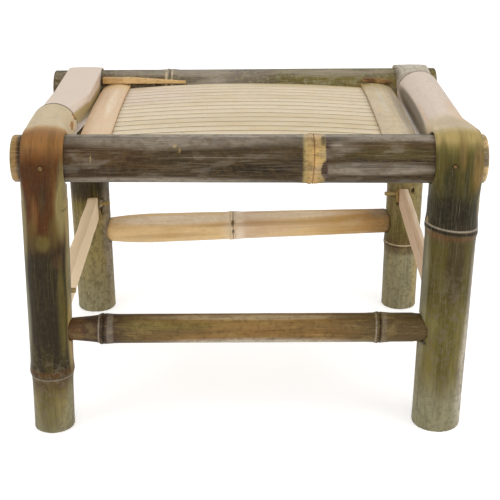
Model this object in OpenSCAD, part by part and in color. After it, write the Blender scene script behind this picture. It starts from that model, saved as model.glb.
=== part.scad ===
// Bamboo stool with heat-bent legs. Millimetres, Z up, front towards -Y.
// The origin is on the floor, under the middle of the stool.
// Four culms are notched and bent round the two long rails. Each one is a leg,
// a thinned strap that wraps the rail and a tail that runs along the side,
// where the rear tail slides into the bore of the front one.

/* [Rails] */
// Distance between the axes of the front and rear rails
rail_gap = 250; // [230:5:290]
// Height of the front rail's axis above the floor
rail_height = 254; // [220:2:310]
// How much lower the rear rail lies
rear_rail_drop = 1; // [0:0.5:2]
// Length of each rail
rail_length = 400; // [395:5:440]
// Diameter of the front rail
front_rail_d = 42; // [39:0.5:45]
// Diameter of the rear rail
rear_rail_d = 41; // [38:0.5:44]
// How far the front rail lies to the right of the middle
front_rail_shift = 1.5; // [-3:0.5:3]
// How far the rear rail lies to the right of the middle
rear_rail_shift = -1; // [-3:0.5:3]
// Place of the growth ring on the front rail
front_rail_ring = 55; // [20:1:100]
// Place of the growth ring on the rear rail
rear_rail_ring = -80; // [-100:1:-30]
// Wall of the hollow culms
culm_wall = 5; // [4:0.5:6]
// Height of the growth rings above the culm
ring_h = 1.2; // [0.6:0.1:1.6]
// Thickness of the web that closes the bore at each growth ring
ring_web = 3; // [2:0.5:5]

/* [Bent corners] */
// Thickness of the straps where they leave the legs
strap_t = 6; // [5:0.5:7]
// How much thinner the front straps are at their edges
front_strap_round = 3.5; // [2:0.5:4]
// How much thinner the rear straps are at their edges
rear_strap_round = 0.6; // [0.3:0.1:1]
// Thickness of the rear left strap on top of the rail
rl_strap_top_t = 1.6; // [1.5:0.1:3]
// Thickness of the rear right strap on top of the rail
rr_strap_top_t = 3.8; // [2.5:0.1:4.5]
// Length over which the leg flattens into the strap
leg_blend = 34; // [28:1:45]
// Length over which the strap rounds out into the tail
tail_blend = 52; // [40:1:60]
// Gap between a rail and the notch that it lies in
notch_fit = 0.15; // [0.1:0.05:0.3]
// Width of the saw cut where the leg and the tail meet under the rail
mitre_cut = 0.8; // [0.5:0.1:1.5]
// Length eased off the edges of the culm ends
end_ease = 1; // [0.5:0.1:1.5]
// Length of rear tail that sits inside the front tail
sleeve_overlap = 32; // [20:1:35]
// Gap between the rear tail and the bore of the front tail
sleeve_fit = 0.2; // [0.1:0.05:0.3]
// Length over which the rear left tail stays as flat as its strap
rl_flat_run = 100; // [80:5:110]
// Depth of the flat planed on top of it, where the front tail takes it in
tail_flat = 3.4; // [2:0.2:3.6]
// Diameter of the pegs driven through the straps
strap_peg_d = 4; // [3:0.5:5]
// Distance from the middle to the strap pegs
strap_peg_x = 172; // [168:0.5:174]
// How far the strap pegs stand proud
strap_peg_proud = 0.4; // [0.2:0.1:1]

/* [Front left pole] */
// Distance from the middle to the top of the leg
fl_top_x = 173; // [171:0.5:175]
// Distance from the middle to the foot
fl_foot_x = 179.5; // [173:0.5:182]
// Diameter at the top of the leg
fl_leg_d = 40; // [38:0.5:42]
// Diameter at the foot
fl_foot_d = 38.6; // [36:0.2:42]
// Width of the strap
fl_strap_w = 36.5; // [34:0.5:38]
// Distance from the middle to the strap
fl_strap_x = 171.5; // [170:0.5:174]
// Distance from the middle to the tail
left_tail_x = 176.5; // [175:0.5:179]
// Diameter of the tail
fl_tail_d = 42.6; // [42.2:0.1:44]
// Distance from the front rail axis to the end of the tail
fl_tail_reach = 86; // [75:1:100]
// Height of the growth ring on the leg
fl_ring_z = 57; // [40:1:70]

/* [Front right pole] */
// Distance from the middle to the top of the leg
fr_top_x = 177; // [175:0.5:179]
// Distance from the middle to the foot
fr_foot_x = 174; // [172:0.5:180]
// Diameter at the top of the leg
fr_leg_d = 44.8; // [42:0.2:46]
// Diameter at the foot
fr_foot_d = 44.2; // [41:0.2:46]
// Width of the strap
fr_strap_w = 40.5; // [38:0.5:42]
// Distance from the middle to the strap
fr_strap_x = 176.5; // [175:0.5:178]
// Distance from the middle to the tail
right_tail_x = 175.5; // [174.5:0.5:178]
// Diameter of the tail
fr_tail_d = 44; // [43.4:0.1:45]
// Distance from the front rail axis to the end of the tail
fr_tail_reach = 210; // [190:1:214]
// Height of the growth ring on the leg
fr_ring_z = 194; // [175:1:205]

/* [Rear left pole] */
// Distance from the middle to the top of the leg
rl_top_x = 173; // [171:0.5:175]
// Distance from the middle to the foot
rl_foot_x = 171.5; // [168:0.5:178]
// Diameter at the top of the leg
rl_leg_d = 42.8; // [40:0.2:44]
// Diameter at the foot
rl_foot_d = 42; // [38:0.2:44]
// Width of the strap
rl_strap_w = 36; // [34:0.5:38]
// Distance from the middle to the strap
rl_strap_x = 169; // [168:0.5:172]
// Diameter of the tail
rl_tail_d = 39.2; // [38:0.2:39.6]
// Height of the growth ring on the leg
rl_ring_z = 180; // [160:1:195]

/* [Rear right pole] */
// Distance from the middle to the top of the leg
rr_top_x = 175; // [173:0.5:177]
// Distance from the middle to the foot
rr_foot_x = 174; // [171:0.5:178]
// Diameter at the top of the leg
rr_leg_d = 40.4; // [38:0.2:43]
// Diameter at the foot
rr_foot_d = 38.6; // [36:0.2:43]
// Width of the strap
rr_strap_w = 35; // [32:0.5:36]
// Distance from the middle to the strap
rr_strap_x = 173; // [171:0.5:175]
// Diameter of the tail
rr_tail_d = 39; // [38:0.2:39.4]
// Height of the growth ring on the leg
rr_ring_z = 78; // [60:1:82]

/* [Seat] */
// Number of slats
slat_count = 15; // [13:1:17]
// Gap between two slats
slat_gap = 0.5; // [0.3:0.1:1]
// Thickness of a slat at its crown
slat_t = 4; // [3:0.5:5]
// How much thinner a slat is at its edges
slat_round = 0.9; // [0.4:0.1:1.2]
// Height of the slat ends above the rail axes
seat_rise = 3; // [1:0.5:5]
// How far the middle of a slat springs up above its ends
seat_bow = 7.5; // [4:0.5:9]
// How far the seat rises from its front and rear edges to the middle
seat_crown = 2.5; // [1.5:0.5:4]
// Gap between the outer slats and the rails
seat_edge_gap = 0.3; // [0.2:0.1:1]
// Gap between pieces of the seat that lie on each other
seat_fit = 0.12; // [0.08:0.02:0.2]
// Distance from the middle to each cover batten
batten_x = 134.5; // [125:0.5:138]
// Width of the left cover batten
left_batten_w = 28; // [22:1:30]
// Width of the right cover batten
right_batten_w = 31; // [24:1:32]
// Thickness of the cover battens
batten_t = 5.5; // [4.5:0.5:6]
// How much thinner a cover batten is at its edges
batten_round = 3.3; // [2:0.1:3.5]
// Width of the bars under the slat ends
end_bar_w = 20; // [16:1:24]
// Thickness of the bars under the slat ends
end_bar_t = 10; // [8:0.5:12]
// Width of the middle bar
middle_bar_w = 24; // [20:1:30]
// Thickness of the middle bar
middle_bar_t = 12; // [9:0.5:13]
// How far the bars and battens reach past the wall of a rail
seat_tenon = 5; // [3:0.5:8]
// Gap round every tenon in its mortise
tenon_fit = 0.25; // [0.15:0.05:0.4]
// Diameter of the pegs that lock the battens in the rails
batten_peg_d = 3; // [2.5:0.5:4]

/* [Filler strips] */
// Length of the strip along the rear rail
filler_length = 86; // [60:1:100]
// Width of the strip at its broad end
filler_w = 7; // [5:0.5:8]
// Thickness of the strip at its broad end
filler_t = 6.5; // [5:0.5:7]
// Width of the wedge behind the right batten
wedge_w = 6; // [5:0.5:7]
// Thickness of the wedge behind the right batten
wedge_t = 4.5; // [3:0.5:5]

/* [Front stretcher] */
// Height of its axis
front_stretcher_z = 97; // [92:0.5:99]
// Diameter of the stretcher
front_stretcher_d = 26.5; // [24:0.5:28]
// Diameter of its left tenon
front_tenon_left_d = 19.5; // [16:0.5:20.5]
// Diameter of its right tenon
front_tenon_right_d = 25; // [22:0.5:26]
// Place of the left growth ring
front_ring_left = -129; // [-133:1:-100]
// Place of the right growth ring
front_ring_right = 117; // [90:1:125]
// Depth of the tenons of both long stretchers in the legs
stretcher_tenon = 10; // [8:0.5:10.5]

/* [Rear stretcher] */
// Height of its axis at the left leg
rear_stretcher_left_z = 92; // [86:0.5:94]
// Height of its axis at the right leg
rear_stretcher_right_z = 101; // [95:0.5:106]
// Diameter where it is thickest
rear_stretcher_d = 33; // [29:0.5:34]
// Diameter at the right leg
rear_stretcher_end_d = 27; // [24:0.5:28]
// Diameter at the left leg
rear_stretcher_start_d = 27; // [24:0.5:29]
// Diameter of its two tenons
rear_tenon_d = 20; // [16:0.5:22]
// Place of its growth ring
rear_stretcher_ring = -15; // [-60:1:40]
// Depth of the flat planed along its front
rear_stretcher_flat = 1.2; // [0.4:0.1:2.5]

/* [Side stretchers] */
// Distance from the middle to the left side stretcher
left_side_x = 168; // [167:0.5:171]
// Height of the left side stretcher at the front leg
left_side_front_z = 120; // [119.5:0.5:130]
// Height of the left side stretcher at the rear leg
left_side_rear_z = 123; // [120:0.5:130]
// Depth of the left side stretcher, top to bottom
left_side_h = 26; // [20:0.5:26]
// Thickness of the left side stretcher
left_side_t = 12; // [8:0.5:13]
// Distance from the middle to the right side stretcher
right_side_x = 172; // [171.5:0.5:174]
// Height of the right side stretcher at the front leg
right_side_front_z = 113; // [112:0.5:122]
// Height of the right side stretcher at the rear leg
right_side_rear_z = 135; // [128:0.5:140]
// Depth of the right side stretcher, top to bottom
right_side_h = 21; // [17:0.5:24]
// Thickness of the right side stretcher
right_side_t = 11; // [9:0.5:12]
// How much thinner the side stretchers are at their edges
side_round = 1.5; // [0.5:0.1:2]
// Depth of the side stretcher tenons in the legs
side_tenon = 13; // [11:0.5:13.5]
// Diameter of the pegs through the side stretchers
side_peg_d = 4.4; // [3.4:0.2:5]
// Distance from the end of a side stretcher to its peg
side_peg_inset = 6; // [5:0.5:7]
// How far each side peg reaches past its side stretcher inside the leg
side_peg_past = 2; // [1:0.5:3]
// How far the front left side peg stands out of the leg
fl_peg_proud = 7; // [0.5:0.5:10]
// How far the front right side peg stands out of the leg
fr_peg_proud = 0.5; // [0.5:0.5:10]
// How far the rear left side peg stands out of the leg
rl_peg_proud = 7; // [0.5:0.5:10]
// How far the rear right side peg stands out of the leg
rr_peg_proud = 8.5; // [0.5:0.5:10]
// Height of the front left side peg above the middle of its side stretcher
fl_peg_up = 9.5; // [0:0.5:9.5]
// Height of the rear left side peg above the middle of its side stretcher
rl_peg_up = 5; // [0:0.5:9.5]
// Height of the rear right side peg above the middle of its side stretcher
rr_peg_up = 3; // [0:0.5:6]
// Gap round every peg in its hole
peg_fit = 0.1; // [0.05:0.05:0.2]

/* [Hidden] */
$fn = 72;
blend_fn = 32;
slab = 0.5;
// How far below a culm's skin the faceted blend begins
seam = 0.25;
// How far a strap is drawn into the notch that is then cut for the rail
notch_overcut = 1;
overcut = 5;
half_gap = rail_gap / 2;
front_y = -half_gap;
rear_y = half_gap;

// Colours of weathered culms, fresh splits and scraped poles
weathered = [0.42, 0.38, 0.28];
olive = [0.52, 0.50, 0.28];
pale = [0.88, 0.84, 0.62];
straw = [0.86, 0.72, 0.48];
pink = [0.90, 0.76, 0.62];
brown = [0.50, 0.36, 0.20];

function mix(a, b, share) = a + (b - a) * share;
function half_chord(r, off) = sqrt(max(r * r - off * off, 0));

// Outer radius of the bends, and the centre lines of the legs and tails
front_bend_r = front_rail_d / 2 + notch_fit + strap_t;
rear_bend_r = rear_rail_d / 2 + notch_fit + strap_t;
rl_top_r = rear_rail_d / 2 + notch_fit + rl_strap_top_t;
rr_top_r = rear_rail_d / 2 + notch_fit + rr_strap_top_t;
rear_rail_z = rail_height - rear_rail_drop;
fl_leg_y = front_y - front_bend_r + fl_leg_d / 2;
fr_leg_y = front_y - front_bend_r + fr_leg_d / 2;
rl_leg_y = rear_y + rear_bend_r - rl_leg_d / 2;
rr_leg_y = rear_y + rear_bend_r - rr_leg_d / 2;
front_stretcher_y = (fl_leg_y + fr_leg_y) / 2;
rear_stretcher_y = (rl_leg_y + rr_leg_y) / 2;
fl_tail_rise = front_bend_r - fl_tail_d / 2;
fr_tail_rise = front_bend_r - fr_tail_d / 2;
rl_tail_rise = fl_tail_rise + rear_rail_drop;
rr_tail_rise = fr_tail_rise + rear_rail_drop;
rl_tail_reach = rail_gap - fl_tail_reach + sleeve_overlap;
rr_tail_reach = rail_gap - fr_tail_reach + sleeve_overlap;
rear_blend_gap = 2;
rl_blend = rail_gap - fl_tail_reach - rear_blend_gap;
rr_blend = rail_gap - fr_tail_reach - rear_blend_gap;

// Where a leg is, and how thick it is, at a height above the floor
function fl_x(z) = -mix(fl_foot_x, fl_top_x, z / rail_height);
function fr_x(z) = mix(fr_foot_x, fr_top_x, z / rail_height);
function rl_x(z) = -mix(rl_foot_x, rl_top_x, z / rear_rail_z);
function rr_x(z) = mix(rr_foot_x, rr_top_x, z / rear_rail_z);
function fl_r(z) = mix(fl_foot_d, fl_leg_d, z / rail_height) / 2;
function fr_r(z) = mix(fr_foot_d, fr_leg_d, z / rail_height) / 2;
function rl_r(z) = mix(rl_foot_d, rl_leg_d, z / rear_rail_z) / 2;
function rr_r(z) = mix(rr_foot_d, rr_leg_d, z / rear_rail_z) / 2;

// The seat is a shallow dome: each slat bows on bow_r along X,
// and the row of slats is laid on crown_r along Y.
slat_end = batten_x + max(left_batten_w, right_batten_w) / 2;
seat_half = half_gap - max(front_rail_d, rear_rail_d) / 2 - seat_edge_gap;
seat_top = rail_height + seat_rise + seat_bow + seat_crown;
bow_r = (pow(slat_end, 2) + pow(seat_bow, 2)) / (2 * seat_bow);
crown_r = (pow(seat_half, 2) + pow(seat_crown, 2)) / (2 * seat_crown);
slat_turn = 2 * asin(seat_half / crown_r) / slat_count;
slat_w = 2 * seat_half / slat_count - slat_gap;
batten_turn = asin(batten_x / bow_r);
bar_end = half_gap - min(front_rail_d, rear_rail_d) / 2 + culm_wall + seat_tenon;
batten_in_r = crown_r + seat_fit;
batten_out_r = batten_in_r + batten_t;
bar_out_r = crown_r - slat_t - seat_fit;

// Culms

// Outline of a growth ring: distance along the culm, and share of the ring's height
ring_shape = [
    [-12, 0], [-5, 0.3], [-2, 1], [-0.7, 0.9],
    [0, 0.3], [0.9, 0.8], [3, 0.6], [11, 0]
];

// Points [radius, distance] over a growth ring on a culm of radius r
function ring_points(r, at, first = 0) =
    [for (i = [first : len(ring_shape) - 1])
        [r + ring_h * ring_shape[i][1], at + ring_shape[i][0]]];

// Points of a tapered culm with growth rings
function culm_points(length, r0, r1, rings) = concat(
    [[r0 - end_ease, 0], [r0, end_ease]],
    [for (at = rings) each ring_points(mix(r0, r1, at / length), at)],
    [[r1, length - end_ease], [r1 - end_ease, length]]
);

// A solid of revolution along Z from [radius, distance] points, grown for a mortise
module turned(points, grow = 0) {
    last = len(points) - 1;
    rotate_extrude()
        polygon(concat(
            [[0, points[0][1]]],
            [for (p = points) [p[0] + grow, p[1]]],
            [[0, points[last][1]]]
        ));
}

// The bores of a culm, closed by a web at each growth ring
module culm_bores(length, r0, r1, rings) {
    starts = concat([-overcut], [for (at = rings) at + ring_web / 2]);
    ends = concat([for (at = rings) at - ring_web / 2], [length + overcut]);
    for (i = [0 : len(starts) - 1])
        translate([0, 0, starts[i]])
            cylinder(
                h = ends[i] - starts[i],
                r1 = mix(r0, r1, starts[i] / length) - culm_wall,
                r2 = mix(r0, r1, ends[i] / length) - culm_wall
            );
}

// Split strips

// One face of a strip: radius and place across the width, rounded off by drop
function strip_face(r, w, drop) =
    let (steps = drop == 0 ? 1 : 12)
    [for (i = [0 : steps]) let (s = 2 * i / steps - 1) [r - drop * s * s, s * w / 2]];
function reversed(points) = [for (i = [len(points) - 1 : -1 : 0]) points[i]];
function strip_section(r_out, r_in, w, out_drop, in_drop = 0) =
    concat(strip_face(r_out, w, out_drop), reversed(strip_face(r_in, w, -in_drop)));

// A strip bowed along X, crest up, on a circle about the origin
module bow_x(section, turn)
    rotate([90, 0, 0])
        rotate([0, 0, 90 - turn])
            rotate_extrude(angle = 2 * turn, $fn = 360)
                polygon(section);

// A strip bowed along Y between two angles from the crest, on a circle about the origin
module bow_y(section, from, to)
    rotate([0, 90, 0])
        rotate([0, 0, 180 - to])
            rotate_extrude(angle = to - from, $fn = 360)
                polygon(section);

// Rails

module rail(d, y, z, shift, ring_x, tint) {
    start = shift - rail_length / 2;
    rings = [ring_x - start];
    color(tint)
        difference() {
            translate([start, y, z])
                rotate([0, 90, 0])
                    difference() {
                        turned(culm_points(rail_length, d / 2, d / 2, rings));
                        culm_bores(rail_length, d / 2, d / 2, rings);
                    }
            cover_battens(tenon_fit);
            seat_bars(tenon_fit);
            strap_peg_set(peg_fit);
            batten_peg_set(peg_fit);
        }
}

module front_rail() {
    rail(front_rail_d, front_y, rail_height, front_rail_shift, front_rail_ring, weathered);
}

module rear_rail() {
    rail(rear_rail_d, rear_y, rear_rail_z, rear_rail_shift, rear_rail_ring, weathered);
}

// Bent poles. Each is drawn as a front pole with the rail axis at the origin:
// the leg hangs down in front, the strap wraps a quarter turn over the rail
// and the tail runs to +Y. A rear pole is the mirror image. strap holds the
// strap's place along the rail, its width, the radius of its bend and how much
// thinner its edges are. A bend of less than bend_r starts behind the axis,
// so that the strap is thinner on top of the rail than where it leaves the leg.

function strap_outline(strap) =
    strip_section(strap[2], strap[2] - strap_t - notch_overcut, strap[1], strap[3]);

module bend(strap)
    rotate([0, 90, 0])
        rotate([0, 0, 180])
            rotate_extrude(angle = 90)
                polygon(strap_outline(strap));

// A thin slice of the strap where it leaves the leg, flat on z = 0
module strap_slice(strap)
    linear_extrude(height = slab)
        rotate([0, 0, -90])
            polygon(strap_outline(strap));

// The leg, round at the foot and flattened outwards where it becomes the strap
module leg_solid(bend_r, axis_z, foot, top, strap, ring_z) {
    lean = atan((top[0] - foot[0]) / axis_z);
    blend_share = 1 - leg_blend / axis_z;
    blend_r = mix(foot[1], top[1], blend_share) / 2;
    blend_x = mix(foot[0], top[0], blend_share);
    axis_y = top[1] / 2 - bend_r;
    below = axis_z + overcut;
    ring_r = mix(foot[1], top[1], ring_z / axis_z) / 2;
    foot_r = foot[1] / 2;
    translate([top[0], axis_y, 0])
        rotate([0, lean, 0])
            translate([0, 0, -below])
                turned(concat(
                    [[foot_r, 0]],
                    ring_points(ring_r, ring_z + overcut),
                    [[blend_r, below - leg_blend]]
                ));
    hull() {
        translate([blend_x, axis_y, -leg_blend - 1])
            cylinder(h = 1, r = blend_r - seam, $fn = blend_fn);
        translate([top[0], axis_y, 0])
            cylinder(h = slab, d = top[1], $fn = blend_fn);
        translate([strap[0], strap[2] - bend_r, 0])
            strap_slice(strap);
    }
}

// A thin slice of the tail as flat as the strap, at a distance y behind the rail axis
module flat_tail_slice(strap, y)
    translate([strap[0], y, 0])
        rotate([-90, 0, 0]) {
            strap_slice(strap);
            translate([0, strap[1] / 2 - strap[2], 0])
                cylinder(h = slab, d = strap[1], $fn = blend_fn);
        }

// The tail, flattened upwards where it leaves the strap and round where it ends
module tail_solid(bend_r, strap, tail_x, rise, tail_d, blend, reach, flat_run) {
    start = strap[2] - bend_r;
    translate([tail_x, blend, rise])
        rotate([-90, 0, 0])
            cylinder(h = reach - blend, d = tail_d);
    hull() {
        translate([tail_x, blend, rise])
            rotate([-90, 0, 0])
                cylinder(h = 1, d = tail_d - 2 * seam, $fn = blend_fn);
        flat_tail_slice(strap, flat_run > 0 ? flat_run : start);
    }
    if (flat_run > 0)
        hull() {
            flat_tail_slice(strap, start);
            flat_tail_slice(strap, flat_run);
        }
}

// The bores of the leg and the tail; sleeve_d opens the end of a front tail wider
module pole_bores(bend_r, axis_z, foot, top, tail_x, rise, tail_d, blend, reach,
                  ring_z, sleeve_d, flat_run) {
    lean = atan((top[0] - foot[0]) / axis_z);
    axis_y = top[1] / 2 - bend_r;
    start = bend_r / 2;
    widen = max(start, flat_run);
    bore_r = tail_d / 2 - culm_wall;
    translate([top[0], axis_y, 0])
        rotate([0, lean, 0])
            translate([0, 0, -axis_z])
                intersection() {
                    culm_bores(axis_z, foot[1] / 2, top[1] / 2, [ring_z]);
                    translate([0, 0, -overcut])
                        cylinder(h = axis_z + overcut - start, r = top[1]);
                }
    translate([tail_x, 0, rise])
        rotate([-90, 0, 0]) {
            translate([0, 0, widen])
                cylinder(h = blend - widen, r1 = bore_r / 2, r2 = bore_r);
            if (flat_run > 0)
                translate([0, 0, start])
                    cylinder(h = widen - start + slab, r = bore_r / 2);
            translate([0, 0, blend])
                cylinder(h = reach - blend + overcut, r = bore_r);
            if (sleeve_d > 0)
                translate([0, 0, reach - sleeve_overlap - 1])
                    cylinder(h = sleeve_overlap + overcut, d = sleeve_d);
        }
}

// Everything past the mitre where the leg and the tail meet under the rail:
// the tail's side of it for side = 1, the leg's side for side = -1
module mitre(side) {
    size = 2 * rail_length;
    rotate([45, 0, 0])
        translate([-size / 2, side > 0 ? -mitre_cut / 2 : mitre_cut / 2 - size, -size / 2])
            cube(size);
}

// What a plane takes off the top of a tail, from the strap to the sleeve
module planed_top(strap, tail_x, rise, tail_d, reach, flat) {
    from_z = strap[2] - strap[3] / 2;
    to_z = rise + tail_d / 2 - flat;
    translate([tail_x - tail_d, 0, from_z])
        rotate([atan((to_z - from_z) / (reach - sleeve_overlap)), 0, 0])
            translate([0, -tail_d / 2, 0])
                cube([2 * tail_d, 2 * reach, tail_d]);
}

// One whole pole. axis_z is the height of its rail; foot and top are [x, diameter] of the leg.
module bent_pole(rail_d, bend_r, axis_z, foot, top, strap, tail_x, rise, tail_d,
                 blend, reach, ring_z, sleeve_d = 0, flat = 0, flat_run = 0) {
    floor_size = 2 * rail_length;
    difference() {
        union() {
            difference() {
                leg_solid(bend_r, axis_z, foot, top, strap, ring_z);
                mitre(1);
            }
            translate([strap[0], strap[2] - bend_r, 0])
                bend(strap);
            difference() {
                tail_solid(bend_r, strap, tail_x, rise, tail_d, blend, reach, flat_run);
                mitre(-1);
                if (flat > 0)
                    planed_top(strap, tail_x, rise, tail_d, reach, flat);
            }
        }
        pole_bores(
            bend_r, axis_z, foot, top, tail_x, rise, tail_d, blend, reach, ring_z, sleeve_d,
            flat_run
        );
        translate([strap[0] - strap[1], 0, 0])
            rotate([0, 90, 0])
                cylinder(h = 2 * strap[1], d = rail_d + 2 * notch_fit);
        translate([-floor_size / 2, -floor_size / 2, -axis_z - floor_size])
            cube(floor_size);
    }
}

module at_front()
    translate([0, front_y, rail_height])
        children();

module at_rear()
    translate([0, rear_y, rear_rail_z])
        mirror([0, 1, 0])
            children();

module pole_front_left() {
    color(olive)
        difference() {
            at_front()
                bent_pole(
                    front_rail_d, front_bend_r, rail_height,
                    [-fl_foot_x, fl_foot_d], [-fl_top_x, fl_leg_d],
                    [-fl_strap_x, fl_strap_w, front_bend_r, front_strap_round],
                    -left_tail_x, fl_tail_rise, fl_tail_d,
                    tail_blend, fl_tail_reach, fl_ring_z,
                    sleeve_d = rl_tail_d + 2 * sleeve_fit
                );
            front_stretcher_solid(tenon_fit);
            left_side_strip(tenon_fit);
            strap_peg_set(peg_fit);
            side_peg_set(peg_fit);
        }
}

module pole_front_right() {
    color(olive)
        difference() {
            at_front()
                bent_pole(
                    front_rail_d, front_bend_r, rail_height,
                    [fr_foot_x, fr_foot_d], [fr_top_x, fr_leg_d],
                    [fr_strap_x, fr_strap_w, front_bend_r, front_strap_round],
                    right_tail_x, fr_tail_rise, fr_tail_d,
                    tail_blend, fr_tail_reach, fr_ring_z,
                    sleeve_d = rr_tail_d + 2 * sleeve_fit
                );
            front_stretcher_solid(tenon_fit);
            right_side_strip(tenon_fit);
            strap_peg_set(peg_fit);
            side_peg_set(peg_fit);
        }
}

module pole_rear_left() {
    color(olive)
        difference() {
            at_rear()
                bent_pole(
                    rear_rail_d, rear_bend_r, rear_rail_z,
                    [-rl_foot_x, rl_foot_d], [-rl_top_x, rl_leg_d],
                    [-rl_strap_x, rl_strap_w, rl_top_r, rear_strap_round],
                    -left_tail_x, rl_tail_rise, rl_tail_d,
                    rl_blend, rl_tail_reach, rl_ring_z,
                    flat = tail_flat, flat_run = rl_flat_run
                );
            rear_stretcher_solid(tenon_fit);
            left_side_strip(tenon_fit);
            strap_peg_set(peg_fit);
            side_peg_set(peg_fit);
        }
}

module pole_rear_right() {
    color(olive)
        difference() {
            at_rear()
                bent_pole(
                    rear_rail_d, rear_bend_r, rear_rail_z,
                    [rr_foot_x, rr_foot_d], [rr_top_x, rr_leg_d],
                    [rr_strap_x, rr_strap_w, rr_top_r, rear_strap_round],
                    right_tail_x, rr_tail_rise, rr_tail_d,
                    rr_blend, rr_tail_reach, rr_ring_z
                );
            rear_stretcher_solid(tenon_fit);
            right_side_strip(tenon_fit);
            strap_peg_set(peg_fit);
            side_peg_set(peg_fit);
        }
}

// Stretchers

front_left_face = fl_x(front_stretcher_z) + fl_r(front_stretcher_z);
front_right_face = fr_x(front_stretcher_z) - fr_r(front_stretcher_z);
rear_left_face = rl_x(rear_stretcher_left_z) + rl_r(rear_stretcher_left_z);
rear_right_face = rr_x(rear_stretcher_right_z) - rr_r(rear_stretcher_right_z);
shoulder = 6;

// A round culm whose ends are tapered to tenons, along X at y = 0, z = 0
module front_stretcher_solid(grow = 0) {
    r = front_stretcher_d / 2;
    left_r = front_tenon_left_d / 2;
    right_r = front_tenon_right_d / 2;
    taper_end = -ring_shape[1][0] + end_ease;
    translate([0, front_stretcher_y, front_stretcher_z])
        rotate([0, 90, 0])
            turned(concat(
                [[left_r - end_ease, front_left_face - stretcher_tenon]],
                [[left_r, front_left_face - stretcher_tenon + end_ease]],
                [[left_r, front_left_face - shoulder]],
                [[r - end_ease, front_ring_left - taper_end]],
                ring_points(r, front_ring_left, 1),
                ring_points(r, front_ring_right),
                [[r, front_right_face - shoulder]],
                [[right_r, front_right_face]],
                [[right_r, front_right_face + stretcher_tenon - end_ease]],
                [[right_r - end_ease, front_right_face + stretcher_tenon]]
            ), grow);
}

module front_stretcher() {
    start = front_left_face - stretcher_tenon;
    length = front_right_face + stretcher_tenon - start;
    bore_r = front_tenon_left_d / 2 - culm_wall;
    color(brown)
        difference() {
            front_stretcher_solid();
            translate([start, front_stretcher_y, front_stretcher_z])
                rotate([0, 90, 0])
                    culm_bores(
                        length, bore_r + culm_wall, bore_r + culm_wall,
                        [front_ring_left - start, front_ring_right - start]
                    );
        }
}

// Distance from the left leg to where the rear stretcher is thickest
swell_at = 42;

// The rear stretcher swells near its left end and thins towards the right
module rear_stretcher_solid(grow = 0) {
    span = rear_right_face - rear_left_face;
    slope = atan((rear_stretcher_right_z - rear_stretcher_left_z) / span);
    tip = stretcher_tenon;
    ring_at = rear_stretcher_ring - rear_left_face;
    ring_r = mix(rear_stretcher_d, rear_stretcher_end_d, ring_at / span) / 2;
    tenon_r = rear_tenon_d / 2;
    translate([rear_left_face, rear_stretcher_y, rear_stretcher_left_z])
        rotate([0, 90 - slope, 0])
            turned(concat(
                [[tenon_r - end_ease, -tip], [tenon_r, end_ease - tip]],
                [[tenon_r, -shoulder], [rear_stretcher_start_d / 2, 0]],
                [[rear_stretcher_d / 2 - end_ease, swell_at / 2]],
                [[rear_stretcher_d / 2, swell_at]],
                ring_points(ring_r, ring_at),
                [[rear_stretcher_end_d / 2, span], [tenon_r, span + shoulder]],
                [[tenon_r, span + tip - end_ease], [tenon_r - end_ease, span + tip]]
            ), grow);
}

module rear_stretcher() {
    span = rear_right_face - rear_left_face;
    slope = atan((rear_stretcher_right_z - rear_stretcher_left_z) / span);
    narrowing = atan((rear_stretcher_d - rear_stretcher_end_d) / 2 / span);
    start = -stretcher_tenon;
    bore_r = rear_tenon_d / 2;
    color(straw)
        difference() {
            rear_stretcher_solid();
            translate([rear_left_face, rear_stretcher_y, rear_stretcher_left_z])
                rotate([0, 90 - slope, 0]) {
                    translate([0, 0, start])
                        culm_bores(
                            span - 2 * start, bore_r, bore_r,
                            [rear_stretcher_ring - rear_left_face - start]
                        );
                    translate([0, rear_stretcher_flat - rear_stretcher_d / 2, 0])
                        rotate([-narrowing, 0, 0])
                            translate([-span, -span, shoulder])
                                cube([2 * span, span, span - 2 * shoulder]);
                }
        }
}

// Ends of the side stretchers inside the legs
left_side_start = fl_leg_y + fl_r(left_side_front_z) - side_tenon;
left_side_stop = rl_leg_y - rl_r(left_side_rear_z) + side_tenon;
right_side_start = fr_leg_y + fr_r(right_side_front_z) - side_tenon;
right_side_stop = rr_leg_y - rr_r(right_side_rear_z) + side_tenon;

function left_side_z(y) =
    mix(left_side_front_z, left_side_rear_z, (y - fl_leg_y) / (rl_leg_y - fl_leg_y));
function right_side_z(y) =
    mix(right_side_front_z, right_side_rear_z, (y - fr_leg_y) / (rr_leg_y - fr_leg_y));

// A strip from [y, z] to [y, z], its rounded skin side turned outwards
module side_strip(x, start, stop, h, t, grow) {
    run = stop[0] - start[0];
    rise = stop[1] - start[1];
    length = norm([run, rise]);
    translate([x, start[0], start[1]])
        rotate([atan2(rise, run), 0, 0])
            mirror([x > 0 ? 0 : 1, 0, 0])
                translate([0, length + grow, 0])
                    rotate([90, 0, 0])
                        linear_extrude(height = length + 2 * grow)
                            polygon(strip_section(
                                t / 2 + grow, -t / 2 - grow, h + 2 * grow, side_round
                            ));
}

module left_side_strip(grow = 0)
    side_strip(
        -left_side_x,
        [left_side_start, left_side_z(left_side_start)],
        [left_side_stop, left_side_z(left_side_stop)],
        left_side_h, left_side_t, grow
    );

module right_side_strip(grow = 0)
    side_strip(
        right_side_x,
        [right_side_start, right_side_z(right_side_start)],
        [right_side_stop, right_side_z(right_side_stop)],
        right_side_h, right_side_t, grow
    );

module side_stretcher_left() {
    color(pink)
        difference() {
            left_side_strip();
            side_peg_set(peg_fit);
        }
}

module side_stretcher_right() {
    color(pink)
        difference() {
            right_side_strip();
            side_peg_set(peg_fit);
        }
}

// Pegs

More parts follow.
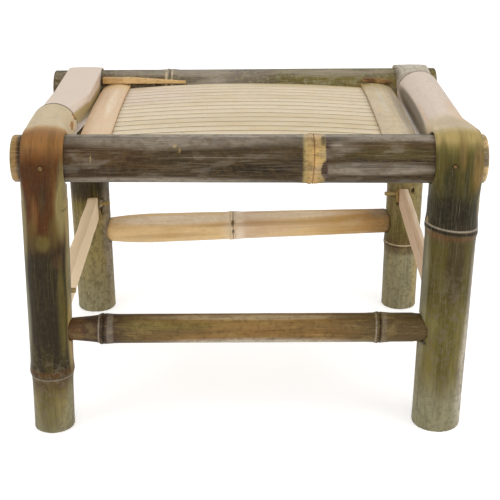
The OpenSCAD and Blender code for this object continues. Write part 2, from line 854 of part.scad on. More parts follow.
// A peg driven along X through the inner wall of a leg and the stretcher in it.
// past_x is where it ends inside the leg.
module side_peg(past_x, leg_x, leg_y, leg_r, y, z, proud, grow) {
    side = leg_x > 0 ? 1 : -1;
    outer = past_x + side * grow;
    inner = leg_x - side * (half_chord(leg_r, y - leg_y) + proud);
    translate([min(outer, inner), y, z])
        rotate([0, 90, 0])
            cylinder(h = abs(outer - inner), d = side_peg_d + 2 * grow);
}

module side_peg_set(grow = 0) {
    fl_y = left_side_start + side_peg_inset;
    fr_y = right_side_start + side_peg_inset;
    rl_y = left_side_stop - side_peg_inset;
    rr_y = right_side_stop - side_peg_inset;
    fl_z = left_side_z(fl_y) + fl_peg_up;
    fr_z = right_side_z(fr_y);
    rl_z = left_side_z(rl_y) + rl_peg_up;
    rr_z = right_side_z(rr_y) + rr_peg_up;
    left = -left_side_x - left_side_t / 2 - side_peg_past;
    right = right_side_x + right_side_t / 2 + side_peg_past;
    side_peg(left, fl_x(fl_z), fl_leg_y, fl_r(fl_z), fl_y, fl_z, fl_peg_proud, grow);
    side_peg(right, fr_x(fr_z), fr_leg_y, fr_r(fr_z), fr_y, fr_z, fr_peg_proud, grow);
    side_peg(left, rl_x(rl_z), rl_leg_y, rl_r(rl_z), rl_y, rl_z, rl_peg_proud, grow);
    side_peg(right, rr_x(rr_z), rr_leg_y, rr_r(rr_z), rr_y, rr_z, rr_peg_proud, grow);
}

module side_pegs() {
    color(brown)
        side_peg_set();
}

// Pegs through the straps and both walls of the rails, short of the far skin by inner
module strap_peg_set(grow = 0) {
    inner = culm_wall / 5;
    for (side = [-1, 1]) {
        translate([side * strap_peg_x, front_y - front_bend_r - strap_peg_proud, rail_height])
            rotate([-90, 0, 0])
                cylinder(
                    h = front_bend_r + strap_peg_proud + front_rail_d / 2 - inner,
                    d = strap_peg_d + 2 * grow
                );
        translate([side * strap_peg_x, rear_y + rear_bend_r + strap_peg_proud, rear_rail_z])
            rotate([90, 0, 0])
                cylinder(
                    h = rear_bend_r + strap_peg_proud + rear_rail_d / 2 - inner,
                    d = strap_peg_d + 2 * grow
                );
    }
}

module strap_pegs() {
    color(straw)
        strap_peg_set();
}

// Seat

// The frame of the pieces that cross the slats near one end of the seat
module at_slat_end(side)
    translate([0, 0, seat_top - bow_r])
        rotate([0, side * batten_turn, 0])
            translate([0, 0, bow_r - crown_r])
                children();

module cross_strip(r_out, r_in, w, out_drop, in_drop, grow) {
    turn = asin((bar_end + grow) / crown_r);
    bow_y(strip_section(r_out + grow, r_in - grow, w + 2 * grow, out_drop, in_drop), -turn, turn);
}

module left_batten_strip(grow = 0)
    at_slat_end(-1)
        cross_strip(batten_out_r, batten_in_r, left_batten_w, batten_round, 0, grow);

module right_batten_strip(grow = 0)
    at_slat_end(1)
        cross_strip(batten_out_r, batten_in_r, right_batten_w, batten_round, 0, grow);

module cover_battens(grow) {
    left_batten_strip(grow);
    right_batten_strip(grow);
}

// Half-round bars that carry the slats
module end_bar_strip(side, grow = 0)
    at_slat_end(side)
        cross_strip(bar_out_r, bar_out_r - end_bar_t, end_bar_w, 0, end_bar_t / 2, grow);

module middle_bar_strip(grow = 0)
    translate([0, 0, seat_top - crown_r])
        cross_strip(bar_out_r, bar_out_r - middle_bar_t, middle_bar_w, 0, middle_bar_t / 2, grow);

module seat_bars(grow) {
    end_bar_strip(-1, grow);
    end_bar_strip(1, grow);
    middle_bar_strip(grow);
}

module batten_left() {
    color(pink)
        difference() {
            left_batten_strip();
            batten_peg_set(peg_fit);
        }
}

module batten_right() {
    color(pink)
        difference() {
            right_batten_strip();
            batten_peg_set(peg_fit);
        }
}

module seat_bar_left() {
    color(straw)
        end_bar_strip(-1);
}

module seat_bar_right() {
    color(straw)
        end_bar_strip(1);
}

module seat_bar_middle() {
    color(straw)
        middle_bar_strip();
}

function slat_name(i) = str("slat_", i < 10 ? "0" : "", i);

// Slat i, counted from the front
module slat(i) {
    turn = (i - (slat_count + 1) / 2) * slat_turn;
    color(pale)
        translate([0, 0, seat_top - crown_r])
            rotate([-turn, 0, 0])
                translate([0, 0, crown_r - bow_r])
                    bow_x(
                        strip_section(bow_r, bow_r - slat_t, slat_w, slat_round),
                        asin(slat_end / bow_r)
                    );
}

// Pegs down through the rails that lock the battens in their mortises
module batten_peg(side, batten_w, y_side, rail_d, rail_z, grow) {
    inset = batten_w / 2 - batten_peg_d;
    off = rail_d / 2 - culm_wall;
    x = side * (batten_x - inset);
    y = y_side * (half_gap - off);
    crown_drop = crown_r - sqrt(pow(crown_r, 2) - pow(y, 2));
    low = seat_top - bow_r + sqrt(pow(bow_r, 2) - pow(x, 2)) - crown_drop;
    high = rail_z + half_chord(rail_d / 2, off) + strap_peg_proud;
    translate([x, y, low])
        cylinder(h = high - low, d = batten_peg_d + 2 * grow);
}

module batten_peg_set(grow = 0) {
    batten_peg(-1, left_batten_w, -1, front_rail_d, rail_height, grow);
    batten_peg(-1, left_batten_w, 1, rear_rail_d, rear_rail_z, grow);
    batten_peg(1, right_batten_w, -1, front_rail_d, rail_height, grow);
}

module batten_pegs() {
    color(pale)
        batten_peg_set();
}

// Face of the rear rail at the height of the battens, less a gap
rail_face_y = rear_y - seat_edge_gap
    - half_chord(rear_rail_d / 2, rail_height + seat_rise + batten_t - rear_rail_z);

// A tapered strip along the rear rail: it lies on the left batten and the last slat
module filler_strip() {
    slat_drop = crown_r - sqrt(pow(crown_r, 2) - pow(seat_half, 2));
    crest = (bow_r + seat_fit + batten_t) * cos(batten_turn) - bow_r;
    left = -batten_x - left_batten_w / 2;
    right = left + filler_length;
    batten_right_edge = left + left_batten_w;
    // The batten is tilted, so its highest line is above its middle
    tilt_rise = pow(left_batten_w * tan(batten_turn), 2) / (16 * batten_round);
    on_batten = seat_top + crest - slat_drop + tilt_rise + seat_fit;
    slat_line = sqrt(pow(bow_r, 2) - pow(right, 2)) - bow_r;
    on_slat = seat_top + slat_line - slat_drop + seat_fit;
    tip_t = filler_t / 2;
    tip_w = filler_w / 3;
    color(brown)
        intersection() {
            translate([0, rail_face_y, 0])
                rotate([90, 0, 0])
                    linear_extrude(height = filler_w)
                        polygon([
                            [left, on_batten], [batten_right_edge, on_batten],
                            [right, on_slat], [right, on_slat + tip_t],
                            [batten_right_edge, on_batten + filler_t],
                            [left, on_batten + filler_t]
                        ]);
            linear_extrude(height = seat_top + filler_t + batten_t)
                polygon([
                    [left, rail_face_y], [left, rail_face_y - filler_w],
                    [batten_right_edge, rail_face_y - filler_w],
                    [right, rail_face_y - tip_w], [right, rail_face_y]
                ]);
        }
}

// A short wedge on the rear end of the right batten, against the rail
module rail_wedge() {
    from = asin((rail_face_y - wedge_w) / crown_r);
    to = asin(rail_face_y / crown_r);
    low = batten_out_r + seat_fit;
    color(brown)
        at_slat_end(1)
            bow_y(strip_section(low + wedge_t, low, right_batten_w, batten_round / 2), from, to);
}

front_rail();
rear_rail();
pole_front_left();
pole_front_right();
pole_rear_left();
pole_rear_right();
front_stretcher();
rear_stretcher();
side_stretcher_left();
side_stretcher_right();
seat_bar_left();
seat_bar_middle();
seat_bar_right();
batten_left();
batten_right();
filler_strip();
rail_wedge();
strap_pegs();
side_pegs();
batten_pegs();
for (i = [1 : slat_count])
    slat(i);
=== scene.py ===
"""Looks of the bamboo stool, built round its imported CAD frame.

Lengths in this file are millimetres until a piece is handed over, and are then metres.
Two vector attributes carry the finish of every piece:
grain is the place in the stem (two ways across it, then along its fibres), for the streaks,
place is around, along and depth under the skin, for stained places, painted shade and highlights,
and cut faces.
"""

import logging
import math
from dataclasses import dataclass
from enum import Enum
from typing import Any, Callable, Sequence

import bmesh
import bpy
import numpy as np
from mathutils import Matrix, Vector, noise


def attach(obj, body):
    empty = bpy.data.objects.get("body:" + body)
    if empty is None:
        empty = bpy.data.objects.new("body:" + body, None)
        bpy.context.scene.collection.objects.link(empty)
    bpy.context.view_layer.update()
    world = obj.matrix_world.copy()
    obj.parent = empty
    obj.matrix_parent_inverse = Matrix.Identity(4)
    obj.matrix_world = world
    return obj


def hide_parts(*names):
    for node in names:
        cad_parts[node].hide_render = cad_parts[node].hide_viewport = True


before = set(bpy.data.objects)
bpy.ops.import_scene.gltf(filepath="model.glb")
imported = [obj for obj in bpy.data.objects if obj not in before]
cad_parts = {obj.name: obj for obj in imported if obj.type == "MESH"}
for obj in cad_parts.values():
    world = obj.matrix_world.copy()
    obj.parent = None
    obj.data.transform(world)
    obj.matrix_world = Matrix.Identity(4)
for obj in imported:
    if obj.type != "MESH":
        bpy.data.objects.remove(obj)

LOG = logging.getLogger("stool")
MM = 0.001
FRONT_Y, REAR_Y = -125.0, 125.0
FRONT_Z, REAR_Z = 254.0, 253.0
FRONT_R, REAR_R = 21.0, 20.5
FRONT_BEND, REAR_BEND = 27.15, 26.65
STRAP_T = 6.0
# The thicknesses of the two front tails, the sleeves that the rear tails slide into.
LEFT_SLEEVE, RIGHT_SLEEVE = 42.6, 44.0
# Points nearer than this are one point, and a metre in millimetres.
MERGE, METRE = 0.001, 1000.0
# The cut end of a culm: how much it is eased, over what length, and the lip of its bore.
END_ROUND, END_RUN, BORE_LIP = 1.0, 1.2, 0.5
# How far the bores of a bent pole stay open at foot and tail, and the wall round a plug.
OPEN_FOOT, OPEN_TAIL, PLUG_WALL = 38.0, 36.0, 4.0
# Points above this depth are skin, and a cut takes the bore's colour between these two.
SKIN_DEPTH, BORE_DEPTH = 1.2, (4.0, 5.2)
# The shine of all the bamboo, and how much of their marks its calm and clean parts lose.
GLOSS, CALMED, CLEANED = 0.13, 0.8, 0.85
# A place past the end of every stem, for finishes with no calm or clean part.
NOWHERE = (900.0, 901.0)

Colour = tuple[float, float, float, float]
Point = tuple[float, float, float]
Span = tuple[float, float]
Socket = bpy.types.NodeSocket


class Tint(Enum):
    """The colours of old, scorched, scraped and freshly split bamboo, as a screen shows them; some
    are also laid as painted shade and painted highlights.
    """

    # The darkest tint: dark marks and cracks, and painted shade in holes and crevices.
    SOOT_AND_SHADE = "180f07"
    UMBER = "2b2214"
    PLUM = "3c2822"
    BARK = "40321c"
    MOSS = "2c2812"
    SCORCH = "502a0a"
    RUSSET = "6e4218"
    CHESTNUT = "5a3e26"
    DRAB = "58462a"
    OLIVE = "504618"
    SAGE = "706430"
    LICHEN = "8c7e50"
    FOG = "8c8668"
    TAWNY = "8a6a3c"
    AMBER = "926638"
    CARAMEL = "b48a54"
    STRAW = "ac965e"
    HONEY = "bc944c"
    GOLD = "cca468"
    STALK = "ecca94"
    WHEAT = "dabb88"
    SAND = "d2be9a"
    CREAM = "dccfae"
    BLUSH = "e0c2a2"
    OAT = "e0d0b4"
    ALMOND = "fce4be"
    PETAL = "dfcdbc"
    IVORY = "f6e4cc"
    ASH = "6a5e4c"
    SILVER = "9c9080"
    CHALK = "d2c8b6"


Stops = tuple[tuple[float, Tint], ...]


def colour(tint: Tint) -> Colour:
    """Turns a screen colour into the linear one that a shader takes.

    Args:
        tint: One of the named colours.

    Returns:
        Red, green, blue and alpha.
    """
    parts = [int(tint.value[i : i + 2], 16) / 255 for i in (0, 2, 4)]
    linear = [p / 12.92 if p <= 0.04045 else ((p + 0.055) / 1.055) ** 2.4 for p in parts]
    return (linear[0], linear[1], linear[2], 1.0)


def mix(a: float, b: float, share: float) -> float:
    """The value that lies that share of the way from a to b."""
    return a + (b - a) * share


def ease(value: np.ndarray) -> np.ndarray:
    """A smooth step from 0 to 1 over the values 0 to 1."""
    t = np.clip(value, 0.0, 1.0)
    return t * t * (3 - 2 * t)


class Sketch:
    """A material's node tree, built up by calls that return output sockets."""

    def __init__(self, name: str) -> None:
        """Starts an empty material.

        Args:
            name: The material's name.
        """
        self.material = bpy.data.materials.new(name)
        self.material.use_nodes = True
        self.nodes = self.material.node_tree.nodes
        self.links = self.material.node_tree.links
        self.nodes.clear()

    def add(self, kind: str, inputs: dict[Any, Any], **settings: Any) -> bpy.types.Node:
        """Adds a node.

        Args:
            kind: The node's type, without its ShaderNode prefix.
            inputs: Socket name or number to a value or another node's socket.
            **settings: The node's own properties.

        Returns:
            The new node.
        """
        node = self.nodes.new("ShaderNode" + kind)
        for key, value in settings.items():
            setattr(node, key, value)
        for key, value in inputs.items():
            if isinstance(value, Socket):
                self.links.new(value, node.inputs[key])
            else:
                node.inputs[key].default_value = value
        return node

    def math(self, operation: str, *values: Any) -> Socket:
        """The result of a Math node on the values."""
        return self.add("Math", dict(enumerate(values)), operation=operation).outputs[0]

    def attribute(self, name: str) -> Socket:
        """The vector of a mesh attribute."""
        return self.add("Attribute", {}, attribute_name=name).outputs["Vector"]

    def split(self, vector: Socket) -> tuple[Socket, ...]:
        """The three parts of a vector."""
        return tuple(self.add("SeparateXYZ", {0: vector}).outputs)

    def smooth(self, value: Any, low: float, high: float) -> Socket:
        """A smooth step from 0 at low to 1 at high."""
        ends = {"Value": value, "From Min": low, "From Max": high}
        return self.add("MapRange", ends, interpolation_type="SMOOTHSTEP").outputs[0]

    def noise(
        self, vector: Any, scale: Point, seed: float, detail: float = 3.0, rough: float = 0.55
    ) -> Socket:
        """Noise whose grain is 1 / scale long on each axis.

        Args:
            vector: Where it is read.
            scale: How fast it changes on each axis.
            seed: Moves it to another part of the noise.
            detail: How many finer layers it has.
            rough: How strong the finer layers are.

        Returns:
            A value around 0.5.
        """
        start = (seed, seed * 0.7, seed * 1.3)
        place = self.add("Mapping", {"Vector": vector, "Location": start, "Scale": scale})
        layers = {"Scale": 1.0, "Detail": detail, "Roughness": rough}
        return self.add("TexNoise", {"Vector": place.outputs[0], **layers}).outputs[0]

    def blend(self, share: Any, under: Any, over: Any) -> Socket:
        """The colour over laid on the colour under by that share."""
        return self.add("Mix", {0: share, 6: under, 7: over}, data_type="RGBA").outputs[2]

    def ramp(self, value: Any, stops: Stops) -> Socket:
        """A colour that follows a value.

        Args:
            value: What is read.
            stops: Pairs of a value and its colour, in rising order.

        Returns:
            The colour.
        """
        first, last = stops[0][0], stops[-1][0]
        share = self.add("MapRange", {"Value": value, "From Min": first, "From Max": last})
        node = self.add("ValToRGB", {0: share.outputs[0]})
        elements = node.color_ramp.elements
        for i, (at, tint) in enumerate(stops):
            where = (at - first) / (last - first)
            element = elements[i] if i < 2 else elements.new(where)
            element.position = where
            element.color = colour(tint)
        return node.outputs[0]

    def close(self, shader: bpy.types.Node) -> bpy.types.Material:
        """Joins the shader to the output and returns the material."""
        self.add("OutputMaterial", {"Surface": shader.outputs[0]})
        return self.material


class Reach(Enum):
    """How far round a stem a patch of colour goes, stained places and painted light alike."""

    OVAL = "a spot with rounded, frayed ends"
    RING = "a clear band all the way round"


@dataclass(frozen=True)
class StainAndPaintedLight:
    """A coloured place on a stem: mostly stained, scorched or bleached, at some places painted
    shade or a painted highlight.
    """

    along: float
    around: float
    half_along: float
    half_around: float
    tint: Tint
    strength: float = 0.8
    soft: float = 0.6
    reach: Reach = Reach.OVAL

    def lay(
        self,
        sketch: Sketch,
        under: Socket,
        around: Socket,
        along: Socket,
        frayed: Socket,
    ) -> Socket:
        """Lays the patch on a colour.

        Args:
            sketch: The material.
            under: The colour so far.
            around: Distance round the stem.
            along: Distance along the stem.
            frayed: The same, drawn out along the fibres.

        Returns:
            The colour with the patch laid on.
        """
        oval = self.reach is Reach.OVAL
        off = sketch.math("SUBTRACT", frayed if oval else along, self.along)
        far = sketch.math("ABSOLUTE", sketch.math("DIVIDE", off, self.half_along))
        if oval:
            beside = sketch.math("SUBTRACT", around, self.around)
            side = sketch.math("DIVIDE", beside, self.half_around)
            square = sketch.math("MULTIPLY", side, side)
            far = sketch.math("SQRT", sketch.math("MULTIPLY_ADD", far, far, square))
        mask = sketch.smooth(far, 1.0, 1.0 - self.soft)
        return sketch.blend(sketch.math("MULTIPLY", mask, self.strength), under, colour(self.tint))


def hoop(at: float, half: float, tint: Tint, strength: float, soft: float = 0.6) -> StainAndPaintedLight:
    """A band that goes all the way round the stem: stained, and at the ends of the sleeves a
    painted shadow line.

    Args:
        at: Its place along the stem.
        half: Half its width.
        tint: Its colour.
        strength: How much it covers.
        soft: The share of its half width over which it fades.

    Returns:
        The band.
    """
    return StainAndPaintedLight(at, 0, half, half, tint, strength, soft, Reach.RING)


@dataclass(frozen=True)
class Finish:
    """The finish of a stem or of a strip that was split from one."""

    name: str
    stops: Stops
    stains_and_painted_light: tuple[StainAndPaintedLight, ...] = ()
    dark: tuple[Tint, float] = (Tint.UMBER, 0.3)
    light: tuple[Tint, float] = (Tint.STRAW, 0.25)
    mottle: tuple[Tint, float] = (Tint.DRAB, 0.3)
    specks: tuple[Tint, float] = (Tint.CREAM, 0.3)
    cut: Tint = Tint.CARAMEL
    bore: Tint = Tint.RUSSET
    rind: Span = (1.1, 1.7)
    streak: float = 0.8
    run: float = 0.03
    spot: float = 0.22
    fray: float = 8.0
    roughness: float = 0.42
    calm: Span = NOWHERE
    clean: Span = NOWHERE
    relief: float = 0.25
    seed: float = 1.0

    def dress(self) -> bpy.types.Material:
        """Builds the material.

        Returns:
            A procedural material that reads the grain and place attributes.
        """
        s = Sketch(self.name)
        grain = s.attribute("grain")
        around, along, depth = s.split(s.attribute("place"))
        fine = s.noise(grain, (self.streak * 3, self.streak * 3, self.run * 2), self.seed + 3)
        coarse = s.noise(grain, (self.streak, self.streak, self.run), self.seed)
        wide = (self.streak / 5, self.streak / 5, self.run / 3)
        broad = s.noise(grain, wide, self.seed + 7, 2.0)
        spots = s.noise(grain, (self.spot, self.spot, self.spot), self.seed + 11, 5.0, 0.65)
        dust = s.noise(grain, (1.1, 1.1, 0.8), self.seed + 17, 2.0)

        frayed = s.math("MULTIPLY_ADD", s.math("SUBTRACT", coarse, 0.5), 2 * self.fray, along)
        skin = s.ramp(frayed, self.stops)
        # Lays the stained places, and the painted shade and highlights, on the skin colour.
        for patch in self.stains_and_painted_light:
            skin = patch.lay(s, skin, around, along, frayed)
        blotch = s.noise(grain, (0.07, 0.07, 0.03), self.seed + 23, 4.0, 0.6)
        wild = s.math("MULTIPLY_ADD", s.smooth(along, *self.calm), -CALMED, 1.0)
        dirt = s.math("MULTIPLY_ADD", s.smooth(along, *self.clean), -CLEANED, 1.0)
        # Each row: a noise, where its marks begin and are full, their tint, share and range
        for value, low, high, (tint, strength), share, where in (
            (broad, 0.5, 0.75, self.dark, 0.7, wild),
            (blotch, 0.5, 0.64, self.dark, 0.6, wild),
            (blotch, 0.48, 0.36, self.light, 0.8, dirt),
            (coarse, 0.5, 0.7, self.dark, 0.7, wild),
            (coarse, 0.48, 0.3, self.light, 0.7, wild),
            (fine, 0.52, 0.72, self.dark, 0.5, wild),
            (fine, 0.46, 0.3, self.light, 0.5, wild),
            (spots, 0.48, 0.62, self.mottle, 1.2, dirt),
            (dust, 0.62, 0.74, self.specks, 1.0, dirt),
        ):
            mask = s.math("MULTIPLY", s.smooth(value, low, high), where)
            skin = s.blend(s.math("MULTIPLY", mask, strength * share), skin, colour(tint))

        rough_cut = s.math("MULTIPLY_ADD", fine, 0.8 * self.rind[0], depth)
        under = s.blend(s.smooth(fine, 0.35, 0.7), colour(self.cut), colour(self.bore))
        under = s.blend(s.smooth(depth, *BORE_DEPTH), under, colour(self.bore))
        look = s.blend(s.smooth(rough_cut, *self.rind), skin, under)

        height = s.math("MULTIPLY_ADD", spots, 0.4, s.math("MULTIPLY_ADD", fine, 0.5, coarse))
        bump = s.add("Bump", {"Height": height, "Strength": 0.55, "Distance": self.relief * MM})
        rough = s.math("MULTIPLY_ADD", spots, 0.25, self.roughness - 0.1)
        shader = s.add(
            "BsdfPrincipled",
            {
                "Base Color": look,
                "Roughness": rough,
                "Specular IOR Level": GLOSS,
                "Normal": bump.outputs[0],
            },
        )
        return s.close(shader)


class Piece:
    """Base of all sub-assemblies: turns finished meshes into pieces on the frame."""

    @staticmethod
    def hand_over(
        mesh: bpy.types.Mesh,
        name: str,
        slot: str,
        nodes: Sequence[str],
        material: bpy.types.Material,
        crease: float = 40.0,
    ) -> bpy.types.Object:
        """Adds a finished mesh to the scene as a piece that stands for CAD nodes.

        Args:
            mesh: The mesh, in metres, in the row frame.
            name: The piece's name.
            slot: The record's material slot; not used.
            nodes: The CAD nodes that it stands for.
            material: Its material.
            crease: Edges sharper than this many degrees stay sharp.

        Returns:
            The piece.
        """
        bm = bmesh.new()
        bm.from_mesh(mesh)
        limit = math.radians(crease)
        for edge in bm.edges:
            edge.smooth = not (edge.is_manifold and edge.calc_face_angle(0.0) > limit)
        for face in bm.faces:
            face.smooth = True
        bm.to_mesh(mesh)
        bm.free()
        mesh.materials.clear()
        mesh.materials.append(material)
        piece = bpy.data.objects.new(name, mesh)
        bpy.context.scene.collection.objects.link(piece)
        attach(piece, "root")
        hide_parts(*nodes)
        LOG.info("%s: %d faces, stands for %s", name, len(mesh.polygons), ", ".join(nodes))
        return piece

    @staticmethod
    def to_mesh(bm: bmesh.types.BMesh, name: str) -> bpy.types.Mesh:
        """Merges doubles, turns the faces outwards, changes to metres and frees the bmesh."""
        bmesh.ops.remove_doubles(bm, verts=bm.verts, dist=MERGE)
        bmesh.ops.recalc_face_normals(bm, faces=bm.faces)
        Piece.resize(bm, MM)
        mesh = bpy.data.meshes.new(name)
        bm.to_mesh(mesh)
        bm.free()
        return mesh

    @staticmethod
    def mark(bm: bmesh.types.BMesh, vert: bmesh.types.BMVert, grain: Point, place: Point) -> None:
        """Writes the two finish attributes of a vertex."""
        layers = bm.verts.layers.float_vector
        vert[layers["grain"]] = Vector(grain)
        vert[layers["place"]] = Vector(place)

    @staticmethod
    def layered() -> bmesh.types.BMesh:
        """An empty bmesh with the two finish attributes."""
        bm = bmesh.new()
        bm.verts.layers.float_vector.new("grain")
        bm.verts.layers.float_vector.new("place")
        return bm

    @staticmethod
    def resize(bm: bmesh.types.BMesh, factor: float) -> None:
        """Scales a bmesh from metres to millimetres or back."""
        bmesh.ops.scale(bm, vec=(factor, factor, factor), verts=bm.verts)

    @staticmethod
    def copy_node(bm: bmesh.types.BMesh, node: str) -> None:
        """Adds a CAD node's solids, in metres and closed, to a bmesh."""
        bm.from_mesh(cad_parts[node].data)
        bmesh.ops.remove_doubles(bm, verts=bm.verts, dist=MERGE * MM)

    @staticmethod
    def even_skin(bm: bmesh.types.BMesh, voxel: float, rounds: int) -> bpy.types.Mesh:
        """Rebuilds closed solids as one even, soft-edged skin.

        Args:
            bm: The solids, in metres, which are freed.
            voxel: Size of the new faces in millimetres.
            rounds: How often they are smoothed.

        Returns:
            The skin, in metres.
        """
        raw = bpy.data.meshes.new("raw")
        bm.to_mesh(raw)
        bm.free()
        holder = bpy.data.objects.new("raw", raw)
        bpy.context.scene.collection.objects.link(holder)
        remesh = holder.modifiers.new("skin", "REMESH")
        remesh.mode = "VOXEL"
        remesh.voxel_size = voxel * MM
        holder.modifiers.new("soften", "SMOOTH").iterations = rounds
        graph = bpy.context.evaluated_depsgraph_get()
        mesh = bpy.data.meshes.new_from_object(holder.evaluated_get(graph))
        bpy.data.objects.remove(holder)
        bpy.data.meshes.remove(raw)
        return mesh

    @staticmethod
    def round_edges(bm: bmesh.types.BMesh, sharper: float, offset: float, clamp: bool) -> None:
        """Eases the sharp edges of a bmesh.

        Args:
            bm: The bmesh, in millimetres.
            sharper: The least angle, in radians, of an edge that is eased.
            offset: How far from the edge the easing begins.
            clamp: Whether eased edges that would meet are held apart.
        """
        sharp = [e for e in bm.edges if e.is_manifold and e.calc_face_angle(0.0) > sharper]
        bmesh.ops.bevel(
            bm,
            geom=sharp, offset=offset, offset_type="OFFSET", segments=2, profile=0.5,
            affect="EDGES", material=-1, clamp_overlap=clamp,
        )


@dataclass
class Ring:
    """A growth ring: its place, height and how it leans."""

    at: float
    height: float = 1.2
    lean: float = 0.0
    swing: float = 0.0
    ribs: float = 0.0
    band: Span = (-8.0, 8.0)

    SHAPE = (
        (-12, 0.0), (-5, 0.3), (-2, 1.0), (-0.7, 0.9), (0, 0.3), (0.9, 0.8), (3, 0.6), (11, 0.0),
    )

    def rise(self, off: np.ndarray) -> np.ndarray:
        """Height of the ring over the stem at a distance along it."""
        xs, ys = zip(*self.SHAPE)
        return self.height * np.interp(off, xs, ys)


@dataclass
class Culm(Piece):
    """A straight round stem along X, spun from its profile."""

    name: str
    slot: str
    node: str
    finish: Finish
    start: float
    stop: float
    centre: Span
    outline: tuple[Span, ...]
    rings: tuple[Ring, ...]
    wall: float = 5.0
    slope: float = 0.0
    sides: int = 144
    pitch: float = 2.4
    web: float = 45.0
    sag: float = 0.25
    flat: float = 0.0

    def radius(self, x: np.ndarray) -> np.ndarray:
        """Radius of the skin along the stem, rings included."""
        xs, rs = zip(*self.outline)
        r = np.interp(x, xs, rs)
        for ring in self.rings:
            r = r + ring.rise(x - ring.at)
        return r

    def stations(self) -> np.ndarray:
        """Places along the stem, close together at the ends and the rings."""
        xs = list(np.arange(self.start, self.stop, self.pitch)) + [self.stop]
        for step in (0.35, 1.0):
            xs += [self.start + step, self.stop - step]
        for ring in self.rings:
            xs += list(ring.at + np.arange(-9.0, 9.0, 0.6))
        return np.unique(np.round([x for x in xs if self.start <= x <= self.stop], 2))

    def profile(self) -> list[Span]:
        """Points (x, r) from the web in one end round the wall to the web in the other."""
        xs = self.stations()
        rs = self.radius(xs)
        for inward in (xs - self.start, self.stop - xs):
            rs = rs - END_ROUND * (1 - ease(inward / END_RUN))
        bore = (rs[0] + rs[-1]) / 2 + END_ROUND - self.wall
        near, far = self.start + self.web, self.stop - self.web
        left = [(near, 0.0), (near, bore), (self.start + BORE_LIP, bore)]
        right = [(self.stop - BORE_LIP, bore), (far, bore), (far, 0.0)]
        return left + list(zip(xs.tolist(), rs.tolist())) + right

    def spin(self) -> bmesh.types.BMesh:
        """Spins the profile into the stem, with its axis on X.

        Returns:
            A closed bmesh with the finish attributes.
        """
        bm = self.layered()
        verts = [bm.verts.new((x, -r, 0.0)) for x, r in self.profile()]
        edges = [bm.edges.new(pair) for pair in zip(verts, verts[1:])]
        bmesh.ops.spin(
            bm,
            geom=verts + edges, cent=(0, 0, 0), axis=(1, 0, 0), angle=2 * math.pi,
            steps=self.sides, use_merge=True,
        )
        bmesh.ops.remove_doubles(bm, verts=bm.verts, dist=MERGE)
        bmesh.ops.recalc_face_normals(bm, faces=bm.faces)
        return bm

    def weather(self, bm: bmesh.types.BMesh) -> None:
        """Marks each vertex with its place in the stem and makes the stem less than perfect.

        Args:
            bm: The stem, with its axis on X.
        """
        seed = Vector((self.finish.seed * 9.1, 3.7, 1.3))
        for vert in bm.verts:
            x, y, z = vert.co
            r = math.hypot(y, z)
            turn = math.atan2(z, -y)
            skin = float(self.radius(np.array([x]))[0])
            self.mark(bm, vert, (y, z, x), (turn * skin, x, max(skin - r, 0.0)))
            if r < skin - self.wall * 0.7:
                continue
            dent = 0.5 + 0.5 * noise.noise(Vector((x * 0.02, y * 0.06, z * 0.06)) + seed)
            drop = self.sag * dent
            drop += 0.05 * (0.5 + 0.5 * noise.noise(Vector((x * 0.08, y * 1.1, z * 1.1)) + seed))
            shift = 0.0
            for ring in self.rings:
                near = math.exp(-(((x - ring.at) / 7.0) ** 2))
                shift += near * (ring.lean * math.sin(turn) + ring.swing * math.sin(2 * turn + 1))
                if ring.ribs and ring.band[0] < x - ring.at < ring.band[1]:
                    drop += ring.ribs * (0.5 + 0.5 * math.sin(turn * skin * math.pi / 1.05))
            if self.flat and y < 0:
                drop += max(0.0, -y - (skin - self.flat)) * 0.9
            share = (r - drop) / r
            vert.co = (x + shift, y * share, z * share)

    def build(self) -> bpy.types.Object:
        """Builds the stem and lays it in its place."""
        bm = self.spin()
        self.weather(bm)
        turn = Matrix.Rotation(math.radians(-self.slope), 4, "Y")
        place = Matrix.Translation((0, self.centre[0], self.centre[1]))
        bmesh.ops.transform(bm, matrix=place @ turn, verts=bm.verts)
        mesh = self.to_mesh(bm, self.name)
        return self.hand_over(mesh, self.name, self.slot, [self.node], self.finish.dress())


@dataclass
class Scar:
    """A torn, split or gouged place on a pole."""

    along: float
    around: float
    half_along: float
    half_around: float
    depth: float
    torn: float = 0.5
    fresh: float = 1.0

    def dig(self, grain: np.ndarray, place: np.ndarray, seed: float) -> np.ndarray:
        """How deep the scar is at each point.

        Args:
            grain: The points' places in the stem.
            place: Around, along and depth of the points.
            seed: Varies its torn edge.

        Returns:
            Depths in millimetres.
        """
        side = (place[:, 0] - self.around) / self.half_around
        off = (place[:, 1] - self.along) / self.half_along
        far = np.hypot(side, off)
        near = np.flatnonzero(far < 1.6)
        deep = np.zeros(len(place))
        for i in near:
            u, v, w = grain[i]
            fray = noise.noise(Vector((u * 0.5, v * 0.5, w * 0.06 + seed)))
            deep[i] = far[i] + self.torn * fray
        deep[near] = self.depth * ease((1.15 - deep[near]) / 0.4)
        return deep


